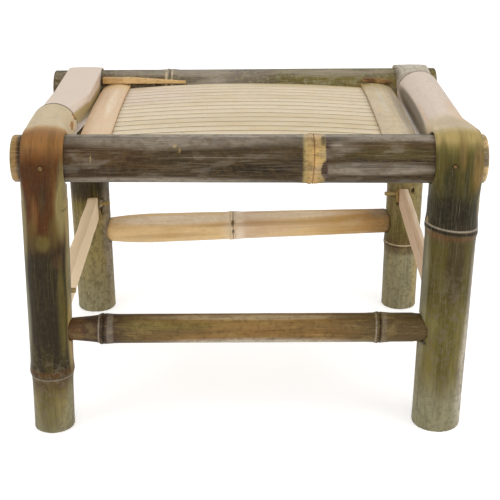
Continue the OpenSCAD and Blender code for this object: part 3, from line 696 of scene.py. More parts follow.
@dataclass
class BentPole(Piece):
    """A stem bent round a rail: its leg, its strap and its tail."""

    name: str
    slot: str
    node: str
    finish: Finish
    rear: bool
    foot: Span
    top: Span
    strap: Span
    tail: Span
    blend: float
    reach: float
    ring: Ring
    top_r: float = FRONT_BEND
    strap_round: float = 3.5
    flat_run: float = 0.0
    planed: float = 999.0
    below: float = 0.0
    scars: tuple[Scar, ...] = ()
    voxel: float = 0.9
    leg_blend: float = 34.0
    dents: float = 0.3
    seed: float = 0.0

    def rail(self) -> tuple[float, float, float]:
        """Y and height of the rail that the pole wraps, and the radius of the bend."""
        return (REAR_Y, REAR_Z, REAR_BEND) if self.rear else (FRONT_Y, FRONT_Z, FRONT_BEND)

    def axis_y(self) -> float:
        """Where the leg's centre line lies behind the rail axis."""
        return self.top[1] / 2 - self.rail()[2]

    def plugs(self, bm: bmesh.types.BMesh) -> None:
        """Closes the bores deep inside, where nobody can look, so the skin can be finer.

        Args:
            bm: The pole in millimetres, in the row frame.
        """
        rail_y, rail_z, bend = self.rail()
        way = -1 if self.rear else 1
        leg_y = rail_y + way * self.axis_y()
        lean = math.atan2(self.top[0] - self.foot[0], rail_z)
        low, high = OPEN_FOOT, rail_z - bend - STRAP_T
        middle = (low + high) / 2
        centre = (mix(self.foot[0], self.top[0], middle / rail_z), leg_y, middle)
        bores = [(centre, Matrix.Rotation(lean, 4, "Y"), self.foot[1], high - low)]
        near, far = self.blend + 2, self.reach - OPEN_TAIL
        if near < far:
            centre = (self.tail[0], rail_y + way * (near + far) / 2, self.tail_height())
            bores.append((centre, Matrix.Rotation(math.pi / 2, 4, "X"), self.tail[1], far - near))
        for centre, turn, across, depth in bores:
            r = across / 2 - PLUG_WALL
            place = Matrix.Translation(centre) @ turn
            bmesh.ops.create_cone(
                bm, cap_ends=True, segments=48, radius1=r, radius2=r, depth=depth, matrix=place
            )

    def tail_height(self) -> float:
        """Height of the axis on which the front and rear tails of one side lie."""
        sleeve = LEFT_SLEEVE if self.tail[0] < 0 else RIGHT_SLEEVE
        return FRONT_Z + FRONT_BEND - sleeve / 2

    def skin(self) -> bpy.types.Mesh:
        """Rebuilds the CAD solid as an even, soft-edged skin.

        Returns:
            A mesh in metres with faces of one voxel.
        """
        bm = bmesh.new()
        self.copy_node(bm, self.node)
        self.resize(bm, METRE)
        self.plugs(bm)
        self.resize(bm, MM)
        mesh = self.even_skin(bm, self.voxel, rounds=4)
        mesh.name = self.name
        return mesh

    def measure(self, co: np.ndarray) -> tuple[np.ndarray, np.ndarray]:
        """Works out where in the stem each point lies.

        Args:
            co: Points in millimetres, in the row frame.

        Returns:
            The grain and place attributes, one row a point.
        """
        rail_y, rail_z, bend = self.rail()
        way = -1.0 if self.rear else 1.0
        x, y, z = co[:, 0], (co[:, 1] - rail_y) * way, co[:, 2] - rail_z
        axis_y, strap_x, strap_w = self.axis_y(), self.strap[0], self.strap[1]
        arc = (self.top_r - STRAP_T / 2) * math.pi / 2
        back_by = bend - self.top_r
        leg = z <= np.minimum(0.0, -y)
        tail = (y >= -back_by) & ~leg

        height = np.clip(co[:, 2] / rail_z, 0, 1)
        leg_x = self.foot[0] + (self.top[0] - self.foot[0]) * height
        leg_x = leg_x + (strap_x - self.top[0]) * ease((z + self.leg_blend) / self.leg_blend)
        leg_r = (self.foot[1] + (self.top[1] - self.foot[1]) * height) / 2
        leg_r = leg_r + self.ring.rise(co[:, 2] - self.ring.at)
        leg_r = leg_r - self.below * self.under_ring(co[:, 2])
        back = (y - axis_y) * (1 if self.rear else -1)
        leg_out = np.hypot(x - leg_x, y - axis_y)
        leg_place = np.stack([np.arctan2(x - leg_x, back) * leg_r, co[:, 2], leg_r - leg_out], 1)
        leg_grain = np.stack([x - leg_x, y - axis_y, co[:, 2]], 1)

        out = np.hypot(y + back_by, z)
        turn = np.arctan2(z, -y - back_by)
        drop = self.strap_round * np.clip(np.abs(x - strap_x) * 2 / strap_w, 0, 1) ** 2
        run = rail_z + arc * turn * 2 / math.pi
        strap_place = np.stack([x - strap_x, run, self.top_r - drop - out], 1)
        strap_grain = np.stack([x - strap_x, -out - axis_y, run], 1)

        share = np.clip((y - self.flat_run) / (self.blend - self.flat_run), 0, 1)
        tail_x = strap_x + (self.tail[0] - strap_x) * share
        rise = self.tail_height() - rail_z
        tail_z = (self.top_r - strap_w / 2) * (1 - share) + rise * share
        tail_r = (strap_w * (1 - share) + self.tail[1] * share) / 2
        tail_out = np.hypot(x - tail_x, z - tail_z)
        run = rail_z + arc + y
        flat = (co[:, 2] > self.planed - 0.6) & (y < self.reach - OPEN_TAIL + 2)
        depth = np.where(flat, 3.0, tail_r - tail_out)
        tail_place = np.stack([np.arctan2(x - tail_x, z - tail_z) * tail_r, run, depth], 1)
        tail_grain = np.stack([x - tail_x, -z - axis_y, run], 1)

        pick = leg[:, None]
        grain = np.where(pick, leg_grain, np.where(tail[:, None], tail_grain, strap_grain))
        place = np.where(pick, leg_place, np.where(tail[:, None], tail_place, strap_place))
        return grain, place

    def under_ring(self, height: np.ndarray) -> np.ndarray:
        """1 on the leg below its ring, 0 above it, with a short step between."""
        return ease((self.ring.at + 0.5 - height) / 1.5)

    def weather(self, mesh: bpy.types.Mesh) -> None:
        """Marks the skin with its place in the stem, leans the ring and adds dents and scars.

        Args:
            mesh: The skin, in metres.
        """
        count = len(mesh.vertices)
        co = np.empty(count * 3)
        mesh.vertices.foreach_get("co", co)
        co = co.reshape(-1, 3) * METRE
        normal = np.empty(count * 3)
        mesh.vertex_normals.foreach_get("vector", normal)
        normal = normal.reshape(-1, 3)
        grain, place = self.measure(co)
        near = np.exp(-(((place[:, 1] - self.ring.at) / 9.0) ** 2))
        on_leg = co[:, 2] < self.rail()[1] - 40
        lean = near * on_leg * grain[:, 0] * self.ring.lean
        dents = np.array(
            [noise.noise(Vector((u * 0.05, v * 0.05, w * 0.015 + self.seed))) for u, v, w in grain]
        )
        floor = ease((co[:, 2] - 1.0) / 6.0)
        drop = (0.5 + 0.5 * dents) * self.dents * floor
        skin = place[:, 2] < SKIN_DEPTH
        drop += self.below * self.under_ring(co[:, 2]) * skin
        hurt, bare = np.zeros(count), np.zeros(count)
        for number, scar in enumerate(self.scars):
            deep = scar.dig(grain, place, self.seed + number)
            hurt += deep
            bare += deep * scar.fresh
        for name, values in (("grain", grain), ("place", place + np.outer(bare, (0, 0, 1)))):
            layer = mesh.attributes.new(name, "FLOAT_VECTOR", "POINT")
            layer.data.foreach_set("vector", values.astype(np.float32).ravel())
        co = co - normal * (drop + hurt * skin)[:, None]
        co[:, 2] = np.maximum(co[:, 2] + lean, 0.0)
        mesh.vertices.foreach_set("co", (co * MM).ravel())
        mesh.update()

    def build(self) -> bpy.types.Object:
        """Builds the pole."""
        mesh = self.skin()
        self.weather(mesh)
        look = self.finish.dress()
        return self.hand_over(mesh, self.name, self.slot, [self.node], look, crease=180.0)


@dataclass
class Strip(Piece):
    """A split strip: a crowned slab with eased edges, placed by a function."""

    name: str
    slot: str
    node: str
    length: float
    width: float
    thick: float
    crown: float
    place: Callable[[float, float, float], Point]
    origin: Span = (0.0, 0.0)
    seed: float = 0.0
    wobble: float = 0.12
    edge: float = 0.5
    cuts: tuple[int, int] = (60, 8)
    belly: float = 0.0
    fuzz: float = 0.0
    # Extra depth along the long edges, for their darker cut colour; partly painted shade for the
    # gaps between strips.
    rim_and_gap_shade: float = 0.0

    def slab(self) -> bmesh.types.BMesh:
        """A crowned slab, its length on X, its width on Y and its skin's crest at z = 0.

        Returns:
            The slab with its finish attributes.
        """
        bm = self.layered()
        bmesh.ops.create_grid(bm, x_segments=self.cuts[0], y_segments=self.cuts[1], size=0.5)
        bmesh.ops.scale(bm, vec=(self.length, self.width, 1), verts=bm.verts)
        top = list(bm.verts)
        made = bmesh.ops.extrude_face_region(bm, geom=list(bm.faces))["geom"]
        low = [v for v in made if isinstance(v, bmesh.types.BMVert)]
        bmesh.ops.translate(bm, vec=(0, 0, -self.thick), verts=low)
        sunk = set(low)
        for vert in top + low:
            x, y, z = vert.co
            side = 2 * y / self.width
            if vert in sunk:
                vert.co.z = z + self.belly * side * side
            else:
                vert.co.z = z - self.crown * side * side
        bmesh.ops.recalc_face_normals(bm, faces=bm.faces)
        self.round_edges(bm, sharper=0.8, offset=self.edge, clamp=True)
        return bm

    def rim_and_gap_shade_depth(self, side: float) -> float:
        """Extra depth near the long edges, which gives them the cut colour: the skin left there,
        and painted shade for the gaps between strips.
        """
        return self.rim_and_gap_shade * max(0.0, (abs(side) - 0.9) / 0.1)

    def wear(self, bm: bmesh.types.BMesh) -> None:
        """Marks the slab's vertices, makes its edges uneven and puts it in its place.

        Args:
            bm: The slab.
        """
        shift = Vector((0, self.seed * 7.3, self.seed * 3.1))
        for vert in bm.verts:
            x, y, z = vert.co
            side = 2 * y / self.width
            skin = -self.crown * side * side
            depth = max(skin - z, 0.0) + self.rim_and_gap_shade_depth(side)
            grain = (y + 100 * self.seed, z, x + 37 * self.seed)
            self.mark(bm, vert, grain, (self.origin[1] + y, self.origin[0] + x, depth))
            bend = noise.noise(Vector((x * 0.012, 0, 0)) + shift)
            pinch = noise.noise(Vector((x * 0.03, 5, side)) + shift)
            y += self.wobble * bend * 1.5 + self.wobble * pinch * side
            z -= self.wobble * (0.5 + 0.5 * noise.noise(Vector((x * 0.02, side * 0.7, 9)) + shift))
            if self.fuzz:
                rough = noise.noise(Vector((x * 0.05, y * 0.9, z * 0.9)) + shift)
                z -= self.fuzz * (0.5 + 0.5 * rough) * (1 if z > -self.thick / 2 else -1)
                y -= self.fuzz * (0.5 + 0.5 * rough) * side * 0.6
            vert.co = self.place(x, y, z)

    def build(self, material: bpy.types.Material) -> bpy.types.Object:
        """Builds the strip in that material."""
        bm = self.slab()
        self.wear(bm)
        mesh = self.to_mesh(bm, self.name)
        return self.hand_over(mesh, self.name, self.slot, [self.node], material, crease=50.0)


@dataclass
class Seat:
    """The domed seat: slats, the bars below them and the battens on their ends."""

    slats: int = 15
    gap: float = 0.5
    thick: float = 4.0
    round: float = 0.9
    bow: float = 7.5
    crown: float = 2.5
    rise: float = 3.0
    end: float = 150.0
    half: float = 103.7
    batten_x: float = 134.5
    batten_t: float = 5.5
    batten_round: float = 3.3
    bar_end: float = 114.5
    fit: float = 0.12

    def __post_init__(self) -> None:
        """Works out the two circles that the dome follows."""
        self.top = FRONT_Z + self.rise + self.bow + self.crown
        self.bow_r = (self.end**2 + self.bow**2) / (2 * self.bow)
        self.crown_r = (self.half**2 + self.crown**2) / (2 * self.crown)

    def on_slat(self, number: int) -> Callable[[float, float, float], Point]:
        """The place of slat number, as a function of a point on a flat slab.

        Args:
            number: The slat, counted from the front.

        Returns:
            A function from x, y, z on the slab to the row frame.
        """
        step = 2 * math.asin(self.half / self.crown_r) / self.slats
        turn = (number - (self.slats + 1) / 2) * step

        def place(x: float, y: float, z: float) -> Point:
            angle = x / self.bow_r
            out = (self.bow_r + z) * math.cos(angle) - self.bow_r + self.crown_r
            return (
                (self.bow_r + z) * math.sin(angle),
                out * math.sin(turn) + y * math.cos(turn),
                self.top - self.crown_r + out * math.cos(turn) - y * math.sin(turn),
            )

        return place

    def across(self, x_place: float, lift: float) -> Callable[[float, float, float], Point]:
        """The place of a strip that crosses the slats.

        Args:
            x_place: Where the strip crosses them.
            lift: How far its skin lies above theirs.

        Returns:
            A function from x (along), y (across), z on the slab to the row frame.
        """
        lean = math.asin(x_place / self.bow_r)

        def place(x: float, y: float, z: float) -> Point:
            angle = x / self.crown_r
            out = self.crown_r + lift + z
            high = self.bow_r - self.crown_r + out * math.cos(angle)
            return (
                high * math.sin(lean) - y * math.cos(lean),
                out * math.sin(angle),
                self.top - self.bow_r + high * math.cos(lean) + y * math.sin(lean),
            )

        return place

    def build(self) -> None:
        """Builds the slats, the battens and the bars."""
        skin = SLAT_FINISH.dress()
        width = 2 * self.half / self.slats - self.gap
        length = 2 * math.asin(self.end / self.bow_r) * self.bow_r
        for number in range(1, self.slats + 1):
            y = (number - (self.slats + 1) / 2) * 2 * self.half / self.slats
            Strip(
                name=f"seat_slat_{number:02d}", slot="slat", node=f"slat_{number:02d}",
                length=length, width=width, thick=self.thick, crown=self.round,
                place=self.on_slat(number), origin=(0.0, y), seed=float(number), wobble=0.06,
                # The long edges take the darker cut colour, partly as painted shade in the gaps
                # between slats.
                edge=0.7, rim_and_gap_shade=0.9, cuts=(50, 20),
            ).build(skin)
        reach = 2 * math.asin(self.bar_end / self.crown_r) * self.crown_r
        for side, name, wide, finish in (
            (-1, "batten_left", 28.0, LEFT_BATTEN_FINISH),
            (1, "batten_right", 31.0, RIGHT_BATTEN_FINISH),
        ):
            Strip(
                name="cover_" + name, slot="batten", node=name, length=reach, width=wide,
                thick=self.batten_t, crown=self.batten_round,
                place=self.across(side * self.batten_x, self.fit + self.batten_t),
                seed=20.0 + side, wobble=0.25, edge=0.6, cuts=(60, 16),
            ).build(finish.dress())
        wood = BAR_FINISH.dress()
        for x, name, wide, thick in (
            (-self.batten_x, "seat_bar_left", 20.0, 10.0),
            (0.0, "seat_bar_middle", 24.0, 12.0),
            (self.batten_x, "seat_bar_right", 20.0, 10.0),
        ):
            Strip(
                name="under_" + name, slot="seat_bar", node=name, length=reach, width=wide,
                thick=thick, crown=0.0, place=self.across(x, -self.thick - self.fit),
                seed=30.0 + x, belly=thick / 2, edge=0.6, fuzz=0.2, cuts=(50, 12),
            ).build(wood)


@dataclass
class SideStretcher(Piece):
    """A fresh split between a front and a rear leg, its skin turned outwards."""

    name: str
    node: str
    x: float
    start: Span
    stop: Span
    depth: float
    thick: float
    finish: Finish
    seed: float

    def build(self) -> bpy.types.Object:
        """Builds the strip between its two ends."""
        run, rise = self.stop[0] - self.start[0], self.stop[1] - self.start[1]
        length = math.hypot(run, rise)
        middle = ((self.start[0] + self.stop[0]) / 2, (self.start[1] + self.stop[1]) / 2)
        side = 1.0 if self.x > 0 else -1.0

        def place(x: float, y: float, z: float) -> Point:
            return (
                self.x + side * (self.thick / 2 + z),
                middle[0] + (x * run - y * rise) / length,
                middle[1] + (x * rise + y * run) / length,
            )

        strip = Strip(
            name=self.name, slot="side_stretcher", node=self.node, length=length, width=self.depth,
            thick=self.thick, crown=1.5, place=place, seed=self.seed, wobble=0.5, edge=0.8,
            cuts=(90, 16), fuzz=0.55,
        )
        return strip.build(self.finish.dress())


class Trim(Piece):
    """Small trim: every kind of peg, the filler strip and the wedge."""

    def pegs(self, name: str, node: str, finish: Finish) -> bpy.types.Object:
        """Eases the cut ends of the pegs of a CAD node.

        Args:
            name: The piece's name.
            node: The CAD node, one solid a peg.
            finish: How the pegs look.

        Returns:
            The piece.
        """
        bm = self.layered()
        self.copy_node(bm, node)
        self.resize(bm, METRE)
        bmesh.ops.dissolve_limit(bm, angle_limit=0.02, verts=bm.verts, edges=bm.edges)
        self.round_edges(bm, sharper=1.0, offset=0.35, clamp=False)
        for vert in bm.verts:
            x, y, z = vert.co
            self.mark(bm, vert, (y, z, x), (z, x, 0.0))
        mesh = self.to_mesh(bm, name)
        return self.hand_over(mesh, name, "peg", [node], finish.dress(), crease=50.0)

    def sliver(self, name: str, node: str, finish: Finish, voxel: float) -> bpy.types.Object:
        """Roughens a small CAD strip: rounded arrises and torn fibres.

        Args:
            name: The piece's name.
            node: The CAD node.
            finish: How it looks.
            voxel: Size of its faces in millimetres.

        Returns:
            The piece.
        """
        bm = bmesh.new()
        self.copy_node(bm, node)
        soft = self.even_skin(bm, voxel, rounds=5)
        bm = self.layered()
        bm.from_mesh(soft)
        bpy.data.meshes.remove(soft)
        self.resize(bm, METRE)
        for vert in bm.verts:
            x, y, z = vert.co
            self.mark(bm, vert, (y, z, x), (y, x, 0.0))
            rough = noise.noise(Vector((x * 0.08, y * 0.7, z * 0.7)))
            vert.co = vert.co - vert.normal * 0.35 * (0.5 + 0.5 * rough)
        mesh = self.to_mesh(bm, name)
        return self.hand_over(mesh, name, "filler", [node], finish.dress(), crease=180.0)


@dataclass
class Studio:
    """The pale floor, the soft light and the camera."""

    lens: float = 80.05
    eye: Point = (-0.00504, -1.02996, 0.5378)
    yaw: float = 0.4294
    pitch: float = 22.1161
    roll: float = -0.1003
    floor_half: float = 3.0
    paper: float = 0.86
    glow: float = 0.22
    seen_glow: float = 0.25
    surround: float = 0.55
    lamps: tuple[tuple[Point, Point, float, float], ...] = (
        ((-1.8, -1.0, 1.3), (0.0, 0.0, 0.15), 1.6, 14.0),
        ((1.8, -1.0, 1.3), (0.0, 0.0, 0.15), 1.6, 18.0),
        ((0.1, -2.2, 1.3), (0.0, 0.0, 0.12), 1.6, 12.0),
        ((0.0, 1.3, 2.0), (0.0, 0.0, 0.2), 1.8, 9.0),
    )

    def floor(self) -> bpy.types.Object:
        """A white table with a faint glow of its own, so the stool's shadow stays pale."""
        bm = bmesh.new()
        bmesh.ops.create_grid(bm, x_segments=1, y_segments=1, size=self.floor_half)
        mesh = bpy.data.meshes.new("studio_floor")
        bm.to_mesh(mesh)
        bm.free()
        s = Sketch("studio_floor")
        seen = s.add("LightPath", {}).outputs["Is Camera Ray"]
        paper = s.add("BsdfDiffuse", {"Color": (self.paper, self.paper, self.paper, 1.0)})
        strength = s.math("MULTIPLY_ADD", seen, self.seen_glow, self.glow)
        glow = s.add("Emission", {"Color": (1, 1, 1, 1), "Strength": strength})
        both = s.add("AddShader", {0: paper.outputs[0], 1: glow.outputs[0]})
        mesh.materials.append(s.close(both))
        obj = bpy.data.objects.new("studio_floor", mesh)
        bpy.context.scene.collection.objects.link(obj)
        return obj

    def light(self) -> None:
        """Soft lamps and a pale surround that the camera sees as white."""
        for number, (at, aim, size, power) in enumerate(self.lamps):
            data = bpy.data.lights.new(f"softbox_{number}", "AREA")
            data.shape = "SQUARE"
            data.size = size
            data.energy = power
            lamp = bpy.data.objects.new(data.name, data)
            lamp.location = at
            way = Vector(aim) - Vector(at)
            lamp.rotation_euler = way.to_track_quat("-Z", "Y").to_euler()
            bpy.context.scene.collection.objects.link(lamp)
        world = bpy.data.worlds.new("surround")
        bpy.context.scene.world = world
        world.use_nodes = True
        tree = world.node_tree
        tree.nodes.clear()
        path = tree.nodes.new("ShaderNodeLightPath")
        soft = tree.nodes.new("ShaderNodeBackground")
        soft.inputs["Strength"].default_value = self.surround
        white = tree.nodes.new("ShaderNodeBackground")
        for sky in (soft, white):
            sky.inputs["Color"].default_value = (1, 1, 1, 1)
        pick = tree.nodes.new("ShaderNodeMixShader")
        out = tree.nodes.new("ShaderNodeOutputWorld")
        tree.links.new(path.outputs["Is Camera Ray"], pick.inputs[0])
        tree.links.new(soft.outputs[0], pick.inputs[1])
        tree.links.new(white.outputs[0], pick.inputs[2])
        tree.links.new(pick.outputs[0], out.inputs[0])

    def camera(self) -> None:
        """The camera at the photograph's place and angle."""
        yaw, pitch = math.radians(self.yaw), math.radians(self.pitch)
        ahead = Vector(
            (math.sin(yaw) * math.cos(pitch), math.cos(yaw) * math.cos(pitch), -math.sin(pitch))
        )
        right = Vector((math.cos(yaw), -math.sin(yaw), 0.0))
        up = right.cross(ahead)
        turn = Matrix((right, up, -ahead)).transposed()
        turn = turn @ Matrix.Rotation(math.radians(self.roll), 3, "Z")
        data = bpy.data.cameras.new("camera")
        data.lens = self.lens
        data.sensor_width = 36.0
        data.clip_end = 50.0
        obj = bpy.data.objects.new("camera", data)
        obj.location = self.eye
        obj.rotation_euler = turn.to_euler()
        bpy.context.scene.collection.objects.link(obj)
        bpy.context.scene.camera = obj

    def build(self) -> None:
        """Sets up the whole studio."""
        self.floor()
        self.light()
        self.camera()
        bpy.context.scene.view_settings.view_transform = "Standard"


FRONT_RAIL_FINISH = Finish(
    name="front_rail_skin",
    stops=(
        # The darkest stop, at -191.5 just outside the strap's edge, is painted crevice shade where
        # the strap wraps the rail.
        (-198.5, Tint.STRAW), (-194, Tint.CARAMEL), (-191.5, Tint.UMBER), (-160, Tint.BARK),
        (46.4, Tint.BARK), (47, Tint.STRAW), (56, Tint.GOLD), (64.5, Tint.STRAW),
        (65.2, Tint.PLUM), (72, Tint.BARK), (188, Tint.BARK), (193, Tint.STRAW),
        (201.5, Tint.WHEAT),
    ),
    stains_and_painted_light=(
        StainAndPaintedLight(-140, 4, 80, 34, Tint.SCORCH, 0.3),
        StainAndPaintedLight(-60, 24, 150, 13, Tint.SILVER, 0.6),
        # A pale band along the whole top of the rail: painted sheen.
        StainAndPaintedLight(0, 32, 300, 5, Tint.CHALK, 0.4),
        StainAndPaintedLight(-20, 8, 64, 8, Tint.BARK, 0.6),
        StainAndPaintedLight(0, -3, 60, 6, Tint.SOOT_AND_SHADE, 0.6),
        StainAndPaintedLight(-140, -5, 62, 8, Tint.UMBER, 0.6),
        StainAndPaintedLight(-90, -18, 140, 8, Tint.SILVER, 0.85),
        StainAndPaintedLight(-138, -1, 26, 4, Tint.BARK, 0.7),
        StainAndPaintedLight(84, 18, 20, 9, Tint.SILVER, 0.5),
        StainAndPaintedLight(-20, 6.8, 62, 0.5, Tint.SILVER, 0.5),
        StainAndPaintedLight(-131, 5, 0.7, 4.5, Tint.STRAW, 0.8),
        StainAndPaintedLight(-61, 17, 2.4, 2.6, Tint.STRAW, 0.8, 0.9),
        StainAndPaintedLight(-57, 13, 1.6, 4, Tint.STRAW, 0.7, 0.9),
        StainAndPaintedLight(128, 27, 72, 9, Tint.SILVER, 0.8),
        StainAndPaintedLight(128, 18, 66, 7, Tint.DRAB, 0.8),
        StainAndPaintedLight(128, 10, 66, 6, Tint.OLIVE, 0.55),
        StainAndPaintedLight(106, -3, 66, 8, Tint.SILVER, 0.7, 0.5),
        StainAndPaintedLight(128, 4.2, 58, 0.5, Tint.SOOT_AND_SHADE, 0.8),
        StainAndPaintedLight(118, -1, 50, 0.5, Tint.SOOT_AND_SHADE, 0.8),
        StainAndPaintedLight(132, -11, 56, 0.7, Tint.SOOT_AND_SHADE, 0.8),
        StainAndPaintedLight(74, 18, 9, 1.8, Tint.SILVER, 0.7, 0.9),
        hoop(55, 0.9, Tint.RUSSET, 0.6, 0.9),
        StainAndPaintedLight(199.5, 6, 5, 9, Tint.ASH, 0.85, 0.5),
        hoop(50, 1.2, Tint.CARAMEL, 0.5, 0.9),
        StainAndPaintedLight(64, -4, 3.4, 10, Tint.PLUM, 0.95, 0.4),
        StainAndPaintedLight(63, 24, 2.6, 8, Tint.UMBER, 0.7, 0.5),
    ),
    dark=(Tint.SOOT_AND_SHADE, 0.5), light=(Tint.SILVER, 0.3), mottle=(Tint.DRAB, 0.35),
    specks=(Tint.STRAW, 0.25), cut=Tint.STRAW, bore=Tint.CARAMEL, streak=0.9, run=0.035, spot=0.16,
    fray=1.2, roughness=0.4, relief=0.35, seed=2.0,
)

REAR_RAIL_FINISH = Finish(
    name="rear_rail_skin",
    stops=(
        (-201, Tint.DRAB), (-84, Tint.DRAB), (-62, Tint.ASH), (-30, Tint.SILVER), (20, Tint.ASH),
        (40, Tint.SAGE), (199, Tint.SAGE),
    ),
    stains_and_painted_light=(
        StainAndPaintedLight(-60, 26, 120, 10, Tint.SILVER, 0.7),
        StainAndPaintedLight(90, 24, 90, 10, Tint.SILVER, 0.6),
        StainAndPaintedLight(150, 4, 60, 14, Tint.HONEY, 0.3),
        hoop(-83.5, 1.6, Tint.SAND, 0.8, 0.5),
        hoop(-80, 0.8, Tint.UMBER, 0.9, 0.7),
        hoop(-77.5, 1.2, Tint.SAND, 0.8, 0.5),
    ),
    dark=(Tint.UMBER, 0.6), light=(Tint.SILVER, 0.4), mottle=(Tint.FOG, 0.5), cut=Tint.STRAW,
    streak=0.8, run=0.04, fray=0.8, roughness=0.4, seed=5.0,
)

FRONT_LEFT_FINISH = Finish(
    name="front_left_skin",
    stops=(
        (0, Tint.FOG), (30, Tint.LICHEN), (48, Tint.DRAB), (56, Tint.DRAB), (58, Tint.BARK),
        (64, Tint.UMBER), (172, Tint.UMBER), (200, Tint.SCORCH), (256, Tint.SCORCH),
        (263, Tint.RUSSET), (272, Tint.AMBER), (287, Tint.AMBER), (297, Tint.CARAMEL),
        (307, Tint.SAND), (378, Tint.SAND),
    ),
    stains_and_painted_light=(
        # The pale patches 18 to 27 round from the front, on both sides, run down the leg's edges
        # as the camera sees it, with olive ones between: partly weathered skin, partly painted
        # reflection at the grazing edges.
        StainAndPaintedLight(222, 18, 46, 9, Tint.LICHEN, 0.95, 0.6),
        StainAndPaintedLight(215, 27, 60, 6, Tint.STRAW, 0.8, 0.6),
        StainAndPaintedLight(204, -21, 56, 8, Tint.LICHEN, 0.75),
        StainAndPaintedLight(214, -6, 20, 4, Tint.AMBER, 0.35),
        StainAndPaintedLight(236, 10, 34, 4, Tint.RUSSET, 0.4),
        StainAndPaintedLight(226, 1, 20, 4, Tint.BARK, 0.6),
        StainAndPaintedLight(194, -9, 22, 7, Tint.SAGE, 0.3),
        StainAndPaintedLight(196, 10, 20, 7, Tint.SAGE, 0.35),
        StainAndPaintedLight(187, 0, 11, 9, Tint.SAGE, 0.55),
        StainAndPaintedLight(169, 13, 9, 8, Tint.CHESTNUT, 0.5),
        StainAndPaintedLight(128, 0, 36, 8, Tint.UMBER, 0.7),
        StainAndPaintedLight(150, 26, 60, 7, Tint.LICHEN, 0.8),
        StainAndPaintedLight(95, 26, 50, 8, Tint.STRAW, 0.85),
        StainAndPaintedLight(120, 15, 60, 6, Tint.SAGE, 0.6),
        StainAndPaintedLight(110, -24, 70, 10, Tint.FOG, 0.7),
        StainAndPaintedLight(78, -16, 16, 6, Tint.OLIVE, 0.5),
        StainAndPaintedLight(214, 24, 1.0, 9, Tint.BARK, 0.7, 0.5),
        StainAndPaintedLight(24, 22, 34, 10, Tint.FOG, 0.8),
        StainAndPaintedLight(20, -24, 34, 9, Tint.FOG, 0.8),
        StainAndPaintedLight(24, -2, 34, 13, Tint.OLIVE, 0.5),
        hoop(61, 4, Tint.RUSSET, 0.35, 0.7),
        hoop(55, 1.2, Tint.SILVER, 0.6, 0.8),
        hoop(57.2, 0.7, Tint.SOOT_AND_SHADE, 0.7),
        # A painted shadow line where the sleeve ends over the rear tail.
        hoop(376.4, 3.0, Tint.UMBER, 0.9, 0.5),
    ),
    dark=(Tint.UMBER, 0.45), light=(Tint.SAGE, 0.25), mottle=(Tint.ASH, 0.45),
    specks=(Tint.STRAW, 0.25), cut=Tint.CARAMEL, bore=Tint.AMBER, fray=5.0, clean=(60.0, 95.0),
    calm=(272.0, 300.0), roughness=0.38, seed=8.0,
)

